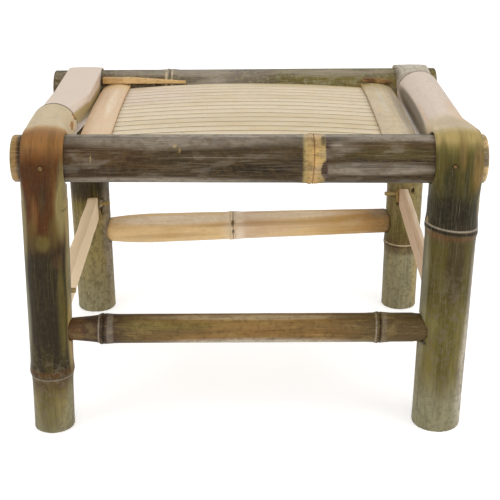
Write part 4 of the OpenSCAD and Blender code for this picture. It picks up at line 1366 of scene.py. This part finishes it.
FRONT_RIGHT_FINISH = Finish(
    name="front_right_skin",
    stops=(
        (0, Tint.FOG), (30, Tint.FOG), (60, Tint.SAGE), (110, Tint.SAGE), (135, Tint.OLIVE),
        (184, Tint.OLIVE), (188, Tint.DRAB), (193, Tint.DRAB), (198, Tint.UMBER), (218, Tint.MOSS),
        (240, Tint.OLIVE), (262, Tint.OLIVE), (268, Tint.SAGE), (275, Tint.STRAW),
        (284, Tint.STRAW), (297, Tint.SAND), (316, Tint.SAND), (345, Tint.PETAL),
        (503, Tint.PETAL),
    ),
    stains_and_painted_light=(
        StainAndPaintedLight(252, 16, 28, 7, Tint.TAWNY, 0.6),
        StainAndPaintedLight(244, 26, 40, 5, Tint.HONEY, 0.5),
        StainAndPaintedLight(266, 2, 20, 4, Tint.TAWNY, 0.5),
        StainAndPaintedLight(262, -14, 22, 5, Tint.OLIVE, 0.6),
        StainAndPaintedLight(238, -8, 26, 8, Tint.MOSS, 0.8),
        StainAndPaintedLight(240, 6, 24, 3, Tint.MOSS, 0.6),
        StainAndPaintedLight(212, -4, 22, 20, Tint.SOOT_AND_SHADE, 0.75),
        StainAndPaintedLight(218, 26, 22, 7, Tint.LICHEN, 0.6),
        # Pale patches down both edges of the leg as the camera sees it, darker olive between them:
        # partly weathered skin, partly painted reflection at the grazing edges.
        StainAndPaintedLight(110, 27, 110, 10, Tint.SILVER, 0.75),
        StainAndPaintedLight(120, -27, 100, 7, Tint.FOG, 0.8),
        StainAndPaintedLight(104, -2, 100, 13, Tint.OLIVE, 0.7),
        StainAndPaintedLight(164, 2, 46, 11, Tint.BARK, 0.8),
        StainAndPaintedLight(310, 0, 22, 20, Tint.SILVER, 0.3),
        # A very dark spot where the front stretcher's underside meets the leg: painted crevice
        # shade.
        StainAndPaintedLight(86.5, -22, 3.0, 3.4, Tint.SOOT_AND_SHADE, 0.95, 0.4),
        StainAndPaintedLight(50, 24, 90, 13, Tint.CHALK, 0.55),
        hoop(189, 4.5, Tint.RUSSET, 0.2, 0.7),
        hoop(196.8, 1.1, Tint.SILVER, 0.9),
        hoop(194, 1.5, Tint.SOOT_AND_SHADE, 0.95, 0.5),
        hoop(189.5, 0.9, Tint.RUSSET, 0.6),
        StainAndPaintedLight(200, -31, 5, 3, Tint.STRAW, 0.8),
        # A dark strip down the inner side of the tail: the culm's weathered skin, and painted
        # shade on the side turned from the light.
        StainAndPaintedLight(400, -28, 120, 9, Tint.ASH, 0.9, 0.4),
        StainAndPaintedLight(400, -30, 120, 5, Tint.BARK, 0.6, 0.9),
        StainAndPaintedLight(350, -19, 70, 1.5, Tint.BLUSH, 0.9, 0.5),
        StainAndPaintedLight(350, 12, 60, 14, Tint.BLUSH, 0.6),
        # A painted shadow line where the sleeve ends over the rear tail.
        hoop(500.4, 3.2, Tint.CHESTNUT, 0.9, 0.5),
    ),
    dark=(Tint.MOSS, 0.4), light=(Tint.FOG, 0.25), mottle=(Tint.ASH, 0.45),
    specks=(Tint.STRAW, 0.3), cut=Tint.STRAW, bore=Tint.DRAB, fray=3.0, clean=(110.0, 200.0),
    calm=(268.0, 305.0), roughness=0.38, seed=12.0,
)

REAR_LEFT_FINISH = Finish(
    name="rear_left_skin",
    stops=(
        (0, Tint.FOG), (70, Tint.LICHEN), (110, Tint.LICHEN), (126, Tint.SAGE), (136, Tint.BARK),
        (144, Tint.UMBER), (252, Tint.UMBER), (266, Tint.PETAL), (489, Tint.PETAL),
    ),
    stains_and_painted_light=(
        StainAndPaintedLight(400, 26, 130, 8, Tint.STRAW, 0.9, 0.4),
        # Pale patches down both edges of the leg as the camera sees it: partly weathered skin,
        # partly painted reflection at the grazing edges.
        StainAndPaintedLight(90, 24, 90, 12, Tint.SILVER, 0.7),
        StainAndPaintedLight(80, -26, 90, 9, Tint.STRAW, 0.5),
        StainAndPaintedLight(112, 14, 16, 8, Tint.STRAW, 0.5),
        StainAndPaintedLight(130, 8, 30, 4, Tint.OLIVE, 0.6),
        # Painted shade in the slot cut at 124, the first scar of this pole.
        StainAndPaintedLight(124, 16.5, 12, 3.6, Tint.SOOT_AND_SHADE, 0.97, 0.4),
    ),
    dark=(Tint.BARK, 0.4), light=(Tint.STRAW, 0.3), mottle=(Tint.DRAB, 0.4), cut=Tint.PETAL,
    bore=Tint.PETAL, fray=6.0, clean=(120.0, 140.0), calm=(256.0, 270.0), roughness=0.42,
    seed=15.0,
)

REAR_RIGHT_FINISH = Finish(
    name="rear_right_skin",
    stops=(
        (0, Tint.FOG), (66, Tint.FOG), (76, Tint.DRAB), (95, Tint.SAGE), (120, Tint.LICHEN),
        (200, Tint.LICHEN), (254, Tint.FOG), (266, Tint.SILVER), (274, Tint.CHALK),
        (304, Tint.CHALK), (362, Tint.SILVER),
    ),
    stains_and_painted_light=(
        StainAndPaintedLight(40, 20, 60, 12, Tint.STRAW, 0.6),
        hoop(78, 1.0, Tint.SAND, 0.8),
        hoop(75.5, 1.0, Tint.BARK, 0.7),
        hoop(70, 6, Tint.DRAB, 0.5, 0.8),
        StainAndPaintedLight(100, -8, 24, 6, Tint.OLIVE, 0.6),
        # Painted shade in the two holes cut at 134 and 142, the scars of this pole.
        StainAndPaintedLight(134, -10, 10, 3, Tint.SOOT_AND_SHADE, 0.97, 0.4),
        StainAndPaintedLight(142, 6.8, 3.5, 2.4, Tint.SOOT_AND_SHADE, 0.95, 0.4),
        StainAndPaintedLight(292, -18, 30, 9, Tint.ASH, 0.5),
        StainAndPaintedLight(290, 4, 18, 15, Tint.CHALK, 0.75),
    ),
    dark=(Tint.BARK, 0.35), light=(Tint.STRAW, 0.3), mottle=(Tint.DRAB, 0.35), cut=Tint.STRAW,
    bore=Tint.CARAMEL, fray=2.0, roughness=0.42, seed=19.0,
)

FRONT_STRETCHER_FINISH = Finish(
    name="front_stretcher_skin",
    stops=(
        (-170, Tint.CHESTNUT), (-150, Tint.CHESTNUT), (-142, Tint.PLUM), (-120, Tint.PLUM),
        (-108, Tint.DRAB), (-50, Tint.TAWNY), (60, Tint.TAWNY), (108, Tint.DRAB), (165, Tint.DRAB),
    ),
    stains_and_painted_light=(
        StainAndPaintedLight(-70, 8, 60, 6, Tint.SAGE, 0.6),
        # A pale band along the top of the stretcher: painted sheen.
        StainAndPaintedLight(0, 17, 120, 5, Tint.SAND, 0.5),
        StainAndPaintedLight(30, 2, 90, 4, Tint.RUSSET, 0.3),
        StainAndPaintedLight(-60, 2, 60, 4, Tint.DRAB, 0.5),
        # A pale band along the lower side: painted light reflected from the floor.
        StainAndPaintedLight(10, -11, 120, 9, Tint.CHALK, 0.8, 0.8),
        StainAndPaintedLight(-140, -5, 10, 8, Tint.PLUM, 0.7),
        hoop(-133, 1.0, Tint.SILVER, 0.8),
        hoop(-129, 1.4, Tint.SOOT_AND_SHADE, 0.95),
        hoop(-123, 4, Tint.SILVER, 0.45),
        hoop(113.5, 1.0, Tint.SILVER, 0.7),
        hoop(117, 1.3, Tint.SOOT_AND_SHADE, 0.95),
        hoop(121, 3, Tint.SILVER, 0.4),
        StainAndPaintedLight(126, 2, 9, 16, Tint.DRAB, 0.6),
    ),
    dark=(Tint.BARK, 0.45), light=(Tint.STRAW, 0.25), mottle=(Tint.BARK, 0.25),
    specks=(Tint.STRAW, 0.4), streak=1.1, fray=1.5, roughness=0.38, seed=23.0,
)

REAR_STRETCHER_FINISH = Finish(
    name="rear_stretcher_skin",
    stops=(
        (-165, Tint.STALK), (-30, Tint.STALK), (-8, Tint.IVORY), (0, Tint.BLUSH), (60, Tint.STALK),
        (100, Tint.GOLD), (130, Tint.CARAMEL), (160, Tint.DRAB),
    ),
    stains_and_painted_light=(
        StainAndPaintedLight(20, 6, 100, 3.5, Tint.AMBER, 0.4),
        StainAndPaintedLight(40, 1, 90, 5, Tint.BLUSH, 0.4),
        StainAndPaintedLight(-90, -5, 70, 4, Tint.CARAMEL, 0.35),
        StainAndPaintedLight(152, 14, 28, 9, Tint.SILVER, 0.6, 0.8),
        # Two cream bands on the upper side: painted light, for the top that lies in the seat's
        # shade.
        StainAndPaintedLight(-80, 15, 100, 9, Tint.IVORY, 0.85),
        StainAndPaintedLight(50, 16, 90, 7, Tint.IVORY, 0.7),
        hoop(-15, 0.9, Tint.RUSSET, 0.7),
        StainAndPaintedLight(-15.4, 8, 2.4, 4.5, Tint.UMBER, 0.97, 0.4),
        StainAndPaintedLight(-15, -2, 2.0, 3.5, Tint.UMBER, 0.9, 0.5),
        hoop(-18, 1.4, Tint.SAND, 0.7),
        hoop(-12.5, 1.2, Tint.SAND, 0.6),
    ),
    dark=(Tint.CARAMEL, 0.3), light=(Tint.SAND, 0.35), mottle=(Tint.GOLD, 0.15),
    specks=(Tint.CARAMEL, 0.15), cut=Tint.GOLD, bore=Tint.HONEY, streak=0.6, run=0.012, fray=0.8,
    roughness=0.36, relief=0.15, seed=27.0,
)

SLAT_FINISH = Finish(
    name="slat_skin", stops=((-150, Tint.OAT), (150, Tint.OAT)),
    stains_and_painted_light=(
        StainAndPaintedLight(-110, 60, 90, 60, Tint.PETAL, 0.8),
        StainAndPaintedLight(30, -50, 150, 40, Tint.STRAW, 0.22),
        StainAndPaintedLight(60, 97, 90, 8, Tint.STRAW, 0.6),
        StainAndPaintedLight(-57, -82, 2.2, 1.2, Tint.UMBER, 0.95, 0.6),
        StainAndPaintedLight(-40, -64, 3.0, 0.8, Tint.LICHEN, 0.8, 0.6),
    ),
    dark=(Tint.STRAW, 0.3), light=(Tint.CHALK, 0.3), mottle=(Tint.WHEAT, 0.25),
    # The darker cut colour along the slats' long edges is partly the skin left there, partly
    # painted shade in the gaps between slats.
    specks=(Tint.LICHEN, 0.2), cut=Tint.SAGE, bore=Tint.DRAB, rind=(0.25, 0.8), streak=0.5,
    run=0.01, roughness=0.42, relief=0.1, seed=31.0,
)

LEFT_BATTEN_FINISH = Finish(
    name="left_batten_skin",
    stops=((-115, Tint.BLUSH), (70, Tint.BLUSH), (100, Tint.WHEAT), (115, Tint.CARAMEL)),
    # A pale streak beside the batten's crest: painted highlight.
    stains_and_painted_light=(StainAndPaintedLight(20, -5, 70, 5, Tint.IVORY, 0.5),), dark=(Tint.CARAMEL, 0.25),
    light=(Tint.CREAM, 0.35), mottle=(Tint.WHEAT, 0.3), specks=(Tint.CARAMEL, 0.2),
    cut=Tint.CARAMEL, bore=Tint.AMBER, streak=0.5, run=0.012, roughness=0.42, relief=0.12,
    seed=35.0,
)

RIGHT_BATTEN_FINISH = Finish(
    name="right_batten_skin",
    stops=((-115, Tint.SAND), (60, Tint.SAND), (100, Tint.STRAW), (115, Tint.CARAMEL)),
    stains_and_painted_light=(
        # A pale streak beside the batten's crest: painted highlight.
        StainAndPaintedLight(20, 4, 70, 3, Tint.CHALK, 0.6),
        StainAndPaintedLight(0, -10, 100, 5, Tint.SILVER, 0.6),
        StainAndPaintedLight(0, 12, 100, 4, Tint.BLUSH, 0.4),
    ),
    dark=(Tint.SILVER, 0.25), light=(Tint.CHALK, 0.35), mottle=(Tint.SILVER, 0.2),
    specks=(Tint.DRAB, 0.2), cut=Tint.CARAMEL, bore=Tint.DRAB, streak=0.5, run=0.012,
    roughness=0.45, relief=0.15, seed=37.0,
)

LEFT_SIDE_FINISH = Finish(
    name="left_side_split", stops=((-125, Tint.ALMOND), (125, Tint.ALMOND)),
    dark=(Tint.WHEAT, 0.15), light=(Tint.IVORY, 0.4), mottle=(Tint.STALK, 0.35),
    specks=(Tint.CARAMEL, 0.15), cut=Tint.ALMOND, bore=Tint.ALMOND, streak=0.7, run=0.015,
    roughness=0.65, relief=0.5, seed=41.0,
)

RIGHT_SIDE_FINISH = Finish(
    name="right_side_split", stops=((-125, Tint.IVORY), (125, Tint.IVORY)),
    dark=(Tint.CARAMEL, 0.2), light=(Tint.SAND, 0.4), mottle=(Tint.BLUSH, 0.4), cut=Tint.IVORY,
    bore=Tint.BLUSH, streak=0.7, run=0.015, roughness=0.65, relief=0.5, seed=43.0,
)

BAR_FINISH = Finish(
    name="bar_split", stops=((-115, Tint.CARAMEL), (115, Tint.CARAMEL)), dark=(Tint.AMBER, 0.4),
    cut=Tint.HONEY, bore=Tint.HONEY, roughness=0.6, seed=47.0,
)

FILLER_FINISH = Finish(
    name="filler_split",
    stops=(
        (-150, Tint.CARAMEL), (-128, Tint.WHEAT), (0, Tint.GOLD), (60, Tint.AMBER),
        (100, Tint.CHESTNUT), (160, Tint.CHESTNUT),
    ),
    dark=(Tint.RUSSET, 0.4), light=(Tint.GOLD, 0.5), mottle=(Tint.CARAMEL, 0.5), streak=1.2,
    fray=4.0, roughness=0.5, relief=0.4, seed=51.0,
)

PEG_FINISH = Finish(
    name="peg_wood", stops=((-200, Tint.STRAW), (200, Tint.STRAW)), dark=(Tint.RUSSET, 0.6),
    light=(Tint.SAND, 0.4), roughness=0.55, seed=55.0,
)

STRAP_PEG_FINISH = Finish(
    name="strap_peg_wood", stops=((-200, Tint.BARK), (200, Tint.BARK)), dark=(Tint.SOOT_AND_SHADE, 0.8),
    light=(Tint.CARAMEL, 0.5), streak=0.9, run=0.9, roughness=0.4, seed=57.0,
)

BATTEN_PEG_FINISH = Finish(
    name="batten_peg_wood", stops=((-200, Tint.SAND), (200, Tint.SAND)), dark=(Tint.STRAW, 0.3),
    roughness=0.5, seed=59.0,
)


def rails() -> list[Culm]:
    """The two long rails."""
    return [
        Culm(
            name="front_rail_culm", slot="front_rail", node="front_rail", finish=FRONT_RAIL_FINISH,
            start=-198.4, stop=201.35, centre=(FRONT_Y, FRONT_Z),
            outline=((-198.4, FRONT_R - 0.8), (201.35, FRONT_R)),
            rings=(Ring(55.0, lean=0.5, swing=0.3, ribs=0.4, band=(-9.0, 9.5)),), slope=-0.3,
            sides=240,
        ),
        Culm(
            name="rear_rail_culm", slot="rear_rail", node="rear_rail", finish=REAR_RAIL_FINISH,
            start=-200.9, stop=198.9, centre=(REAR_Y, REAR_Z),
            outline=((-200.9, REAR_R), (198.9, REAR_R)), rings=(Ring(-80.0, lean=0.3),), slope=0.2,
        ),
    ]


def stretchers() -> list[Culm]:
    """The two round stretchers."""
    return [
        Culm(
            name="front_stretcher_culm", slot="front_stretcher", node="front_stretcher",
            finish=FRONT_STRETCHER_FINISH, start=-167.4, stop=162.9, centre=(-130.95, 97.0),
            outline=(
                (-167.4, 9.75), (-163.4, 9.75), (-135.0, 12.25), (-132.5, 13.1), (-125.0, 13.25),
                (110.0, 13.25), (146.9, 13.25), (152.9, 12.5), (162.9, 12.5),
            ),
            rings=(Ring(-129.0, 1.1, lean=0.4), Ring(117.0, 1.2, lean=0.6)), wall=4.0, web=20.0,
        ),
        Culm(
            name="rear_stretcher_culm", slot="rear_stretcher", node="rear_stretcher",
            finish=REAR_STRETCHER_FINISH, start=-160.9, stop=164.7, centre=(130.85, 96.45),
            outline=(
                (-160.9, 10.0), (-156.9, 10.0), (-150.9, 13.5), (-130.0, 15.5), (-109.0, 16.4),
                (-40.0, 15.7), (60.0, 14.6), (154.7, 13.5), (160.7, 10.0), (164.7, 10.0),
            ),
            rings=(Ring(-15.0, 1.0, lean=0.3),), wall=3.5, web=20.0, slope=1.69, flat=1.2,
        ),
    ]


def poles() -> list[BentPole]:
    """The four bent poles."""
    return [
        BentPole(
            name="front_left_pole", slot="pole_left", node="pole_front_left",
            finish=FRONT_LEFT_FINISH, rear=False, foot=(-179.5, 38.6), top=(-173.0, 40.0),
            strap=(-171.5, 36.5), tail=(-176.5, LEFT_SLEEVE), blend=52.0, reach=86.0,
            ring=Ring(57.0), below=0.9,
            scars=(
                Scar(352, 28, 9, 4, 1.6, 0.8),
                Scar(374, 25, 5, 4, 1.6, 0.9),
                Scar(101, 25, 15, 3, 0.9, 0.9),
            ),
            seed=1.0,
        ),
        BentPole(
            name="front_right_pole", slot="pole_right", node="pole_front_right",
            finish=FRONT_RIGHT_FINISH, rear=False, foot=(174.0, 44.2), top=(177.0, 44.8),
            strap=(176.5, 40.5), tail=(175.5, RIGHT_SLEEVE), blend=52.0, reach=210.0,
            ring=Ring(194.0, lean=-0.11), voxel=1.06, seed=2.0,
        ),
        BentPole(
            name="rear_left_pole", slot="pole_left", node="pole_rear_left",
            finish=REAR_LEFT_FINISH, rear=True, foot=(-171.5, 42.0), top=(-173.0, 42.8),
            strap=(-169.0, 36.0), tail=(-176.5, 39.2), blend=162.0, reach=196.0, ring=Ring(180.0),
            top_r=22.25, strap_round=0.6, flat_run=100.0, planed=275.0,
            scars=(
                Scar(124, 16.5, 11, 3.2, 3.2, 0.4, 0.0),
                Scar(130, 23, 11, 4, 0.9, 0.9, 0.0),
            ),
            voxel=1.06, seed=3.0,
        ),
        BentPole(
            name="rear_right_pole", slot="pole_right", node="pole_rear_right",
            finish=REAR_RIGHT_FINISH, rear=True, foot=(174.0, 38.6), top=(175.0, 40.4),
            strap=(173.0, 35.0), tail=(175.5, 39.0), blend=38.0, reach=72.0, ring=Ring(78.0),
            top_r=24.45, strap_round=0.6,
            scars=(
                Scar(134, -10, 9, 2.8, 3.2, 0.6, 0.0),
                Scar(142, 6.8, 3, 2.2, 2.5, 0.5, 0.0),
            ),
            seed=4.0,
        ),
    ]


def side_stretchers() -> list[SideStretcher]:
    """The two split strips that tie the legs on each side."""
    return [
        SideStretcher(
            name="left_side_split", node="side_stretcher_left", x=-168.0, start=(-125.5, 120.1),
            stop=(122.1, 122.9), depth=26.0, thick=12.0, finish=LEFT_SIDE_FINISH, seed=61.0,
        ),
        SideStretcher(
            name="right_side_split", node="side_stretcher_right", x=172.0, start=(-120.5, 113.8),
            stop=(124.7, 134.4), depth=21.0, thick=11.0, finish=RIGHT_SIDE_FINISH, seed=63.0,
        ),
    ]


def main() -> None:
    """Builds the stool piece by piece, then the studio."""
    logging.basicConfig(level=logging.INFO, format="%(message)s", force=True)
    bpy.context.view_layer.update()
    for culm in rails() + stretchers():
        culm.build()
    for pole in poles():
        pole.build()
    Seat().build()
    for strip in side_stretchers():
        strip.build()
    trim = Trim()
    trim.pegs("strap_peg_heads", "strap_pegs", STRAP_PEG_FINISH)
    trim.pegs("side_stretcher_pegs", "side_pegs", PEG_FINISH)
    trim.pegs("batten_lock_pegs", "batten_pegs", BATTEN_PEG_FINISH)
    trim.sliver("rear_filler", "filler_strip", FILLER_FINISH, 0.6)
    trim.sliver("rear_wedge", "rail_wedge", FILLER_FINISH, 0.5)
    Studio().build()


if __name__ == "__main__":
    main()
